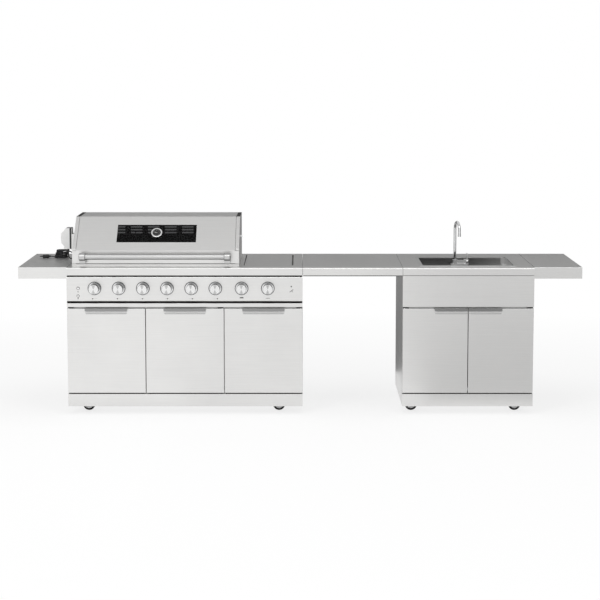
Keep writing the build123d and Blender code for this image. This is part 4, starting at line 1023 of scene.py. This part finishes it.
def gaugeDial():
    work = bmesh.new()
    step = dial["raise"]
    top = step * dial["tickTop"]
    facePaint, markPaint, needlePaint = 0, 1, 2
    face = disc(0, 0, dial["radius"], dial["sides"])
    addPlate(work, face, alongZ, dial["lift"], step, facePaint)
    for k in range(dial["ticks"]):
        reach, width = dial["longTick"] if k % dial["longEvery"] == 0 else dial["shortTick"]
        tick = bar(dial["radius"] - dial["tickEdge"] - reach / 2, 0, reach, width)
        addPlate(work, turned(tick, dialAngle(k)), alongZ, step, top, markPaint)
    needle = turned(dial["needle"], dial["from"] - dial["reading"])
    addPlate(work, needle, alongZ, step * dial["needleLow"], step * dial["needleTop"], needlePaint)
    addPlate(work, disc(0, 0, dial["cap"]), alongZ, top, step * dial["capTop"], markPaint)
    mesh = meshFrom("gauge_dial", work)
    onLid = dialFrame()
    mesh.transform(onLid)
    paints = [coatPaints[name] for name in ("dial_face", "dial_mark", "dial_needle")]
    newPiece("gauge_dial", mesh, paints, "hood_lid")
    for k, number in enumerate(dial["numbers"]):
        dialNumber((k + 1) * dial["longEvery"], number, onLid)


gaugeDial()
print("gauge dial set")

# screws: low domed heads with a cross slot; the profile gives shares of the radius and the height
screw = {"radius": 0.0052, "height": 0.0022, "sides": 20, "slotWithin": 0.4, "slotWaist": 0.45,
         "profile": [(1.0, 0.0), (1.0, 0.35), (0.86, 0.75), (0.55, 0.97), (0.34, 1.0), (0.34, 0.45)],
         "endInset": 0.05, "sideInset": 0.022}


def screwHead(work, spot, facing):
    turn = Vector((0, 0, 1)).rotation_difference(Vector(facing)).to_matrix().to_4x4()
    place = Matrix.Translation(spot) @ turn
    loops = []
    for wide, tall in screw["profile"]:
        loop = []
        for k in range(screw["sides"]):
            angle = 2 * math.pi * k / screw["sides"]
            cross = screw["slotWaist"] + (1 - screw["slotWaist"]) * abs(math.cos(2 * angle)) ** 3
            reach = screw["radius"] * wide * (cross if wide < screw["slotWithin"] else 1.0)
            corner = Vector((reach * math.cos(angle), reach * math.sin(angle), screw["height"] * tall))
            loop.append(place @ corner)
        loops.append(loop)
    work.faces.new(ringOfLoops(work, loops)[-1])


def backScrews(node, name):
    low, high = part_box(node)
    rows = [low.z + screw["endInset"], (low.z + high.z) / 2, high.z - screw["endInset"]]
    columns = [low.x + screw["sideInset"], (low.x + high.x) / 2, high.x - screw["sideInset"]]
    work = bmesh.new()
    for x in columns:
        for z in rows:
            if (x, z) != (columns[1], rows[1]):
                screwHead(work, (x, high.y, z), (0, 1, 0))
    newPiece(name, meshFrom(name, work, True), [chromePaint], "kitchen_frame")


backScrews("grill_cabinet_panels", "grill_back_screws")
backScrews("sink_cabinet_panels", "sink_back_screws")
print("screws in")

# stage: pale floor, white surround, soft lamps and grey cards that only the metal sees
stageLook = {"floor": (0.86, 0.86, 0.86), "floorRoughness": 0.8, "floorSpecular": 0.1, "floorReach": 40,
             "nearGlow": 0.78, "nearReach": 0.9, "farReach": 3.2, "glowShape": (0.42, 1.0, 0.0),
             "ambient": 0.55}
lamps = [
    {"name": "frontLeftBox", "place": (-4.2, -5.0, 4.6), "aim": (-0.3, 0.0, 0.6), "size": 3.2,
     "power": 130.0},
    {"name": "frontRightBox", "place": (4.8, -4.2, 3.6), "aim": (0.3, 0.0, 0.6), "size": 3.0,
     "power": 45.0},
    {"name": "overheadBox", "place": (0.0, -0.8, 5.2), "aim": (0.0, 0.0, 0.9), "size": 4.0,
     "power": 110.0},
]
# cards are name, axis they face along, place on it, two corners on the other axes, and grey level
cards = [
    ("back_card", alongY, 3.2, (-6, 0.02), (6, 3.1), 0.27),
    ("edge_card", alongZ, 4.4, (-4, -5.0), (4, -2.6), 2.7),
    ("top_card", alongZ, 4.0, (-4, -1.6), (4, 1.8), 0.68),
    ("right_card", alongZ, 0.02, (0.8, -7.5), (6, -0.5), 0.64),
    ("left_card", alongZ, 0.02, (-6, -7.5), (-0.8, -0.5), 1.08),
    ("rear_floor_card", alongZ, 0.02, (-6, 0.8), (6, 3.2), 0.22),
    ("left_side_card", alongX, -5, (-2.5, 0.02), (3, 4), 0.25),
    ("right_side_card", alongX, 5, (-2.5, 0.02), (3, 4), 0.12),
]


def seenDirectly(tree):
    rays = addNode(tree, "LightPath").outputs
    seen = either(tree, rays["Is Camera Ray"], rays["Is Glossy Ray"])
    return either(tree, seen, rays["Is Transmission Ray"])


def whiteSurround():
    world = bpy.data.worlds.new("studio")
    bpy.context.scene.world = world
    world.use_nodes = True
    tree = world.node_tree
    surround = tree.nodes["Background"].inputs
    feed(tree, surround["Strength"], ramp(tree, seenDirectly(tree), 0.0, 1.0, stageLook["ambient"], 1.0))
    surround["Color"].default_value = (1, 1, 1, 1)


def plainSheet(name, axis, place, low, high):
    corners = sweep(rectangle(low, high), axis, [place])[0]
    mesh = bpy.data.meshes.new(name)
    mesh.from_pydata(corners, [], [tuple(range(len(corners)))])
    sheet = bpy.data.objects.new(name, mesh)
    bpy.context.collection.objects.link(sheet)
    return sheet


def paleFloor():
    reach = stageLook["floorReach"]
    floor = plainSheet("floor", alongZ, 0, (-reach, -reach), (reach, reach))
    paint, tree, shader = newPaint("floor_paint")
    shader.inputs["Base Color"].default_value = withAlpha(stageLook["floor"])
    shader.inputs["Roughness"].default_value = stageLook["floorRoughness"]
    shader.inputs["Specular IOR Level"].default_value = stageLook["floorSpecular"]
    glow = addNode(tree, "Emission", {"Color": (1, 1, 1, 1), "Strength": 1.0})
    # the floor turns fully white a few steps away from the kitchen
    flat = stretch(tree, addNode(tree, "TexCoord").outputs["Object"], stageLook["glowShape"])
    away = addNode(tree, "VectorMath", {0: flat}, operation="LENGTH").outputs["Value"]
    white = ramp(tree, away, stageLook["nearReach"], stageLook["farReach"], stageLook["nearGlow"], 1.0)
    share = times(tree, seenDirectly(tree), white)
    mixed = addNode(tree, "MixShader", {0: share, 1: shader.outputs[0], 2: glow.outputs[0]})
    feed(tree, tree.nodes["Material Output"].inputs["Surface"], mixed.outputs[0])
    floor.data.materials.append(paint)


def greyCard(name, axis, place, low, high, level):
    card = plainSheet(name, axis, place, low, high)
    paint, tree = newPaint(name)[:2]
    glow = addNode(tree, "Emission", {"Color": (level, level, level, 1), "Strength": 1.0})
    feed(tree, tree.nodes["Material Output"].inputs["Surface"], glow.outputs[0])
    card.data.materials.append(paint)
    card.visible_camera = card.visible_diffuse = card.visible_shadow = card.visible_transmission = False


def softLamp(row):
    data = bpy.data.lights.new(row["name"], "AREA")
    data.shape = "DISK"
    data.size = row["size"]
    data.energy = row["power"]
    lamp = bpy.data.objects.new(row["name"], data)
    lamp.location = row["place"]
    lamp.rotation_euler = (Vector(row["aim"]) - Vector(row["place"])).to_track_quat("-Z", "Y").to_euler()
    lamp.visible_glossy = False
    bpy.context.collection.objects.link(lamp)


whiteSurround()
paleFloor()
for row in cards:
    greyCard(*row)
for row in lamps:
    softLamp(row)
print("stage lit")

bpy.context.view_layer.update()
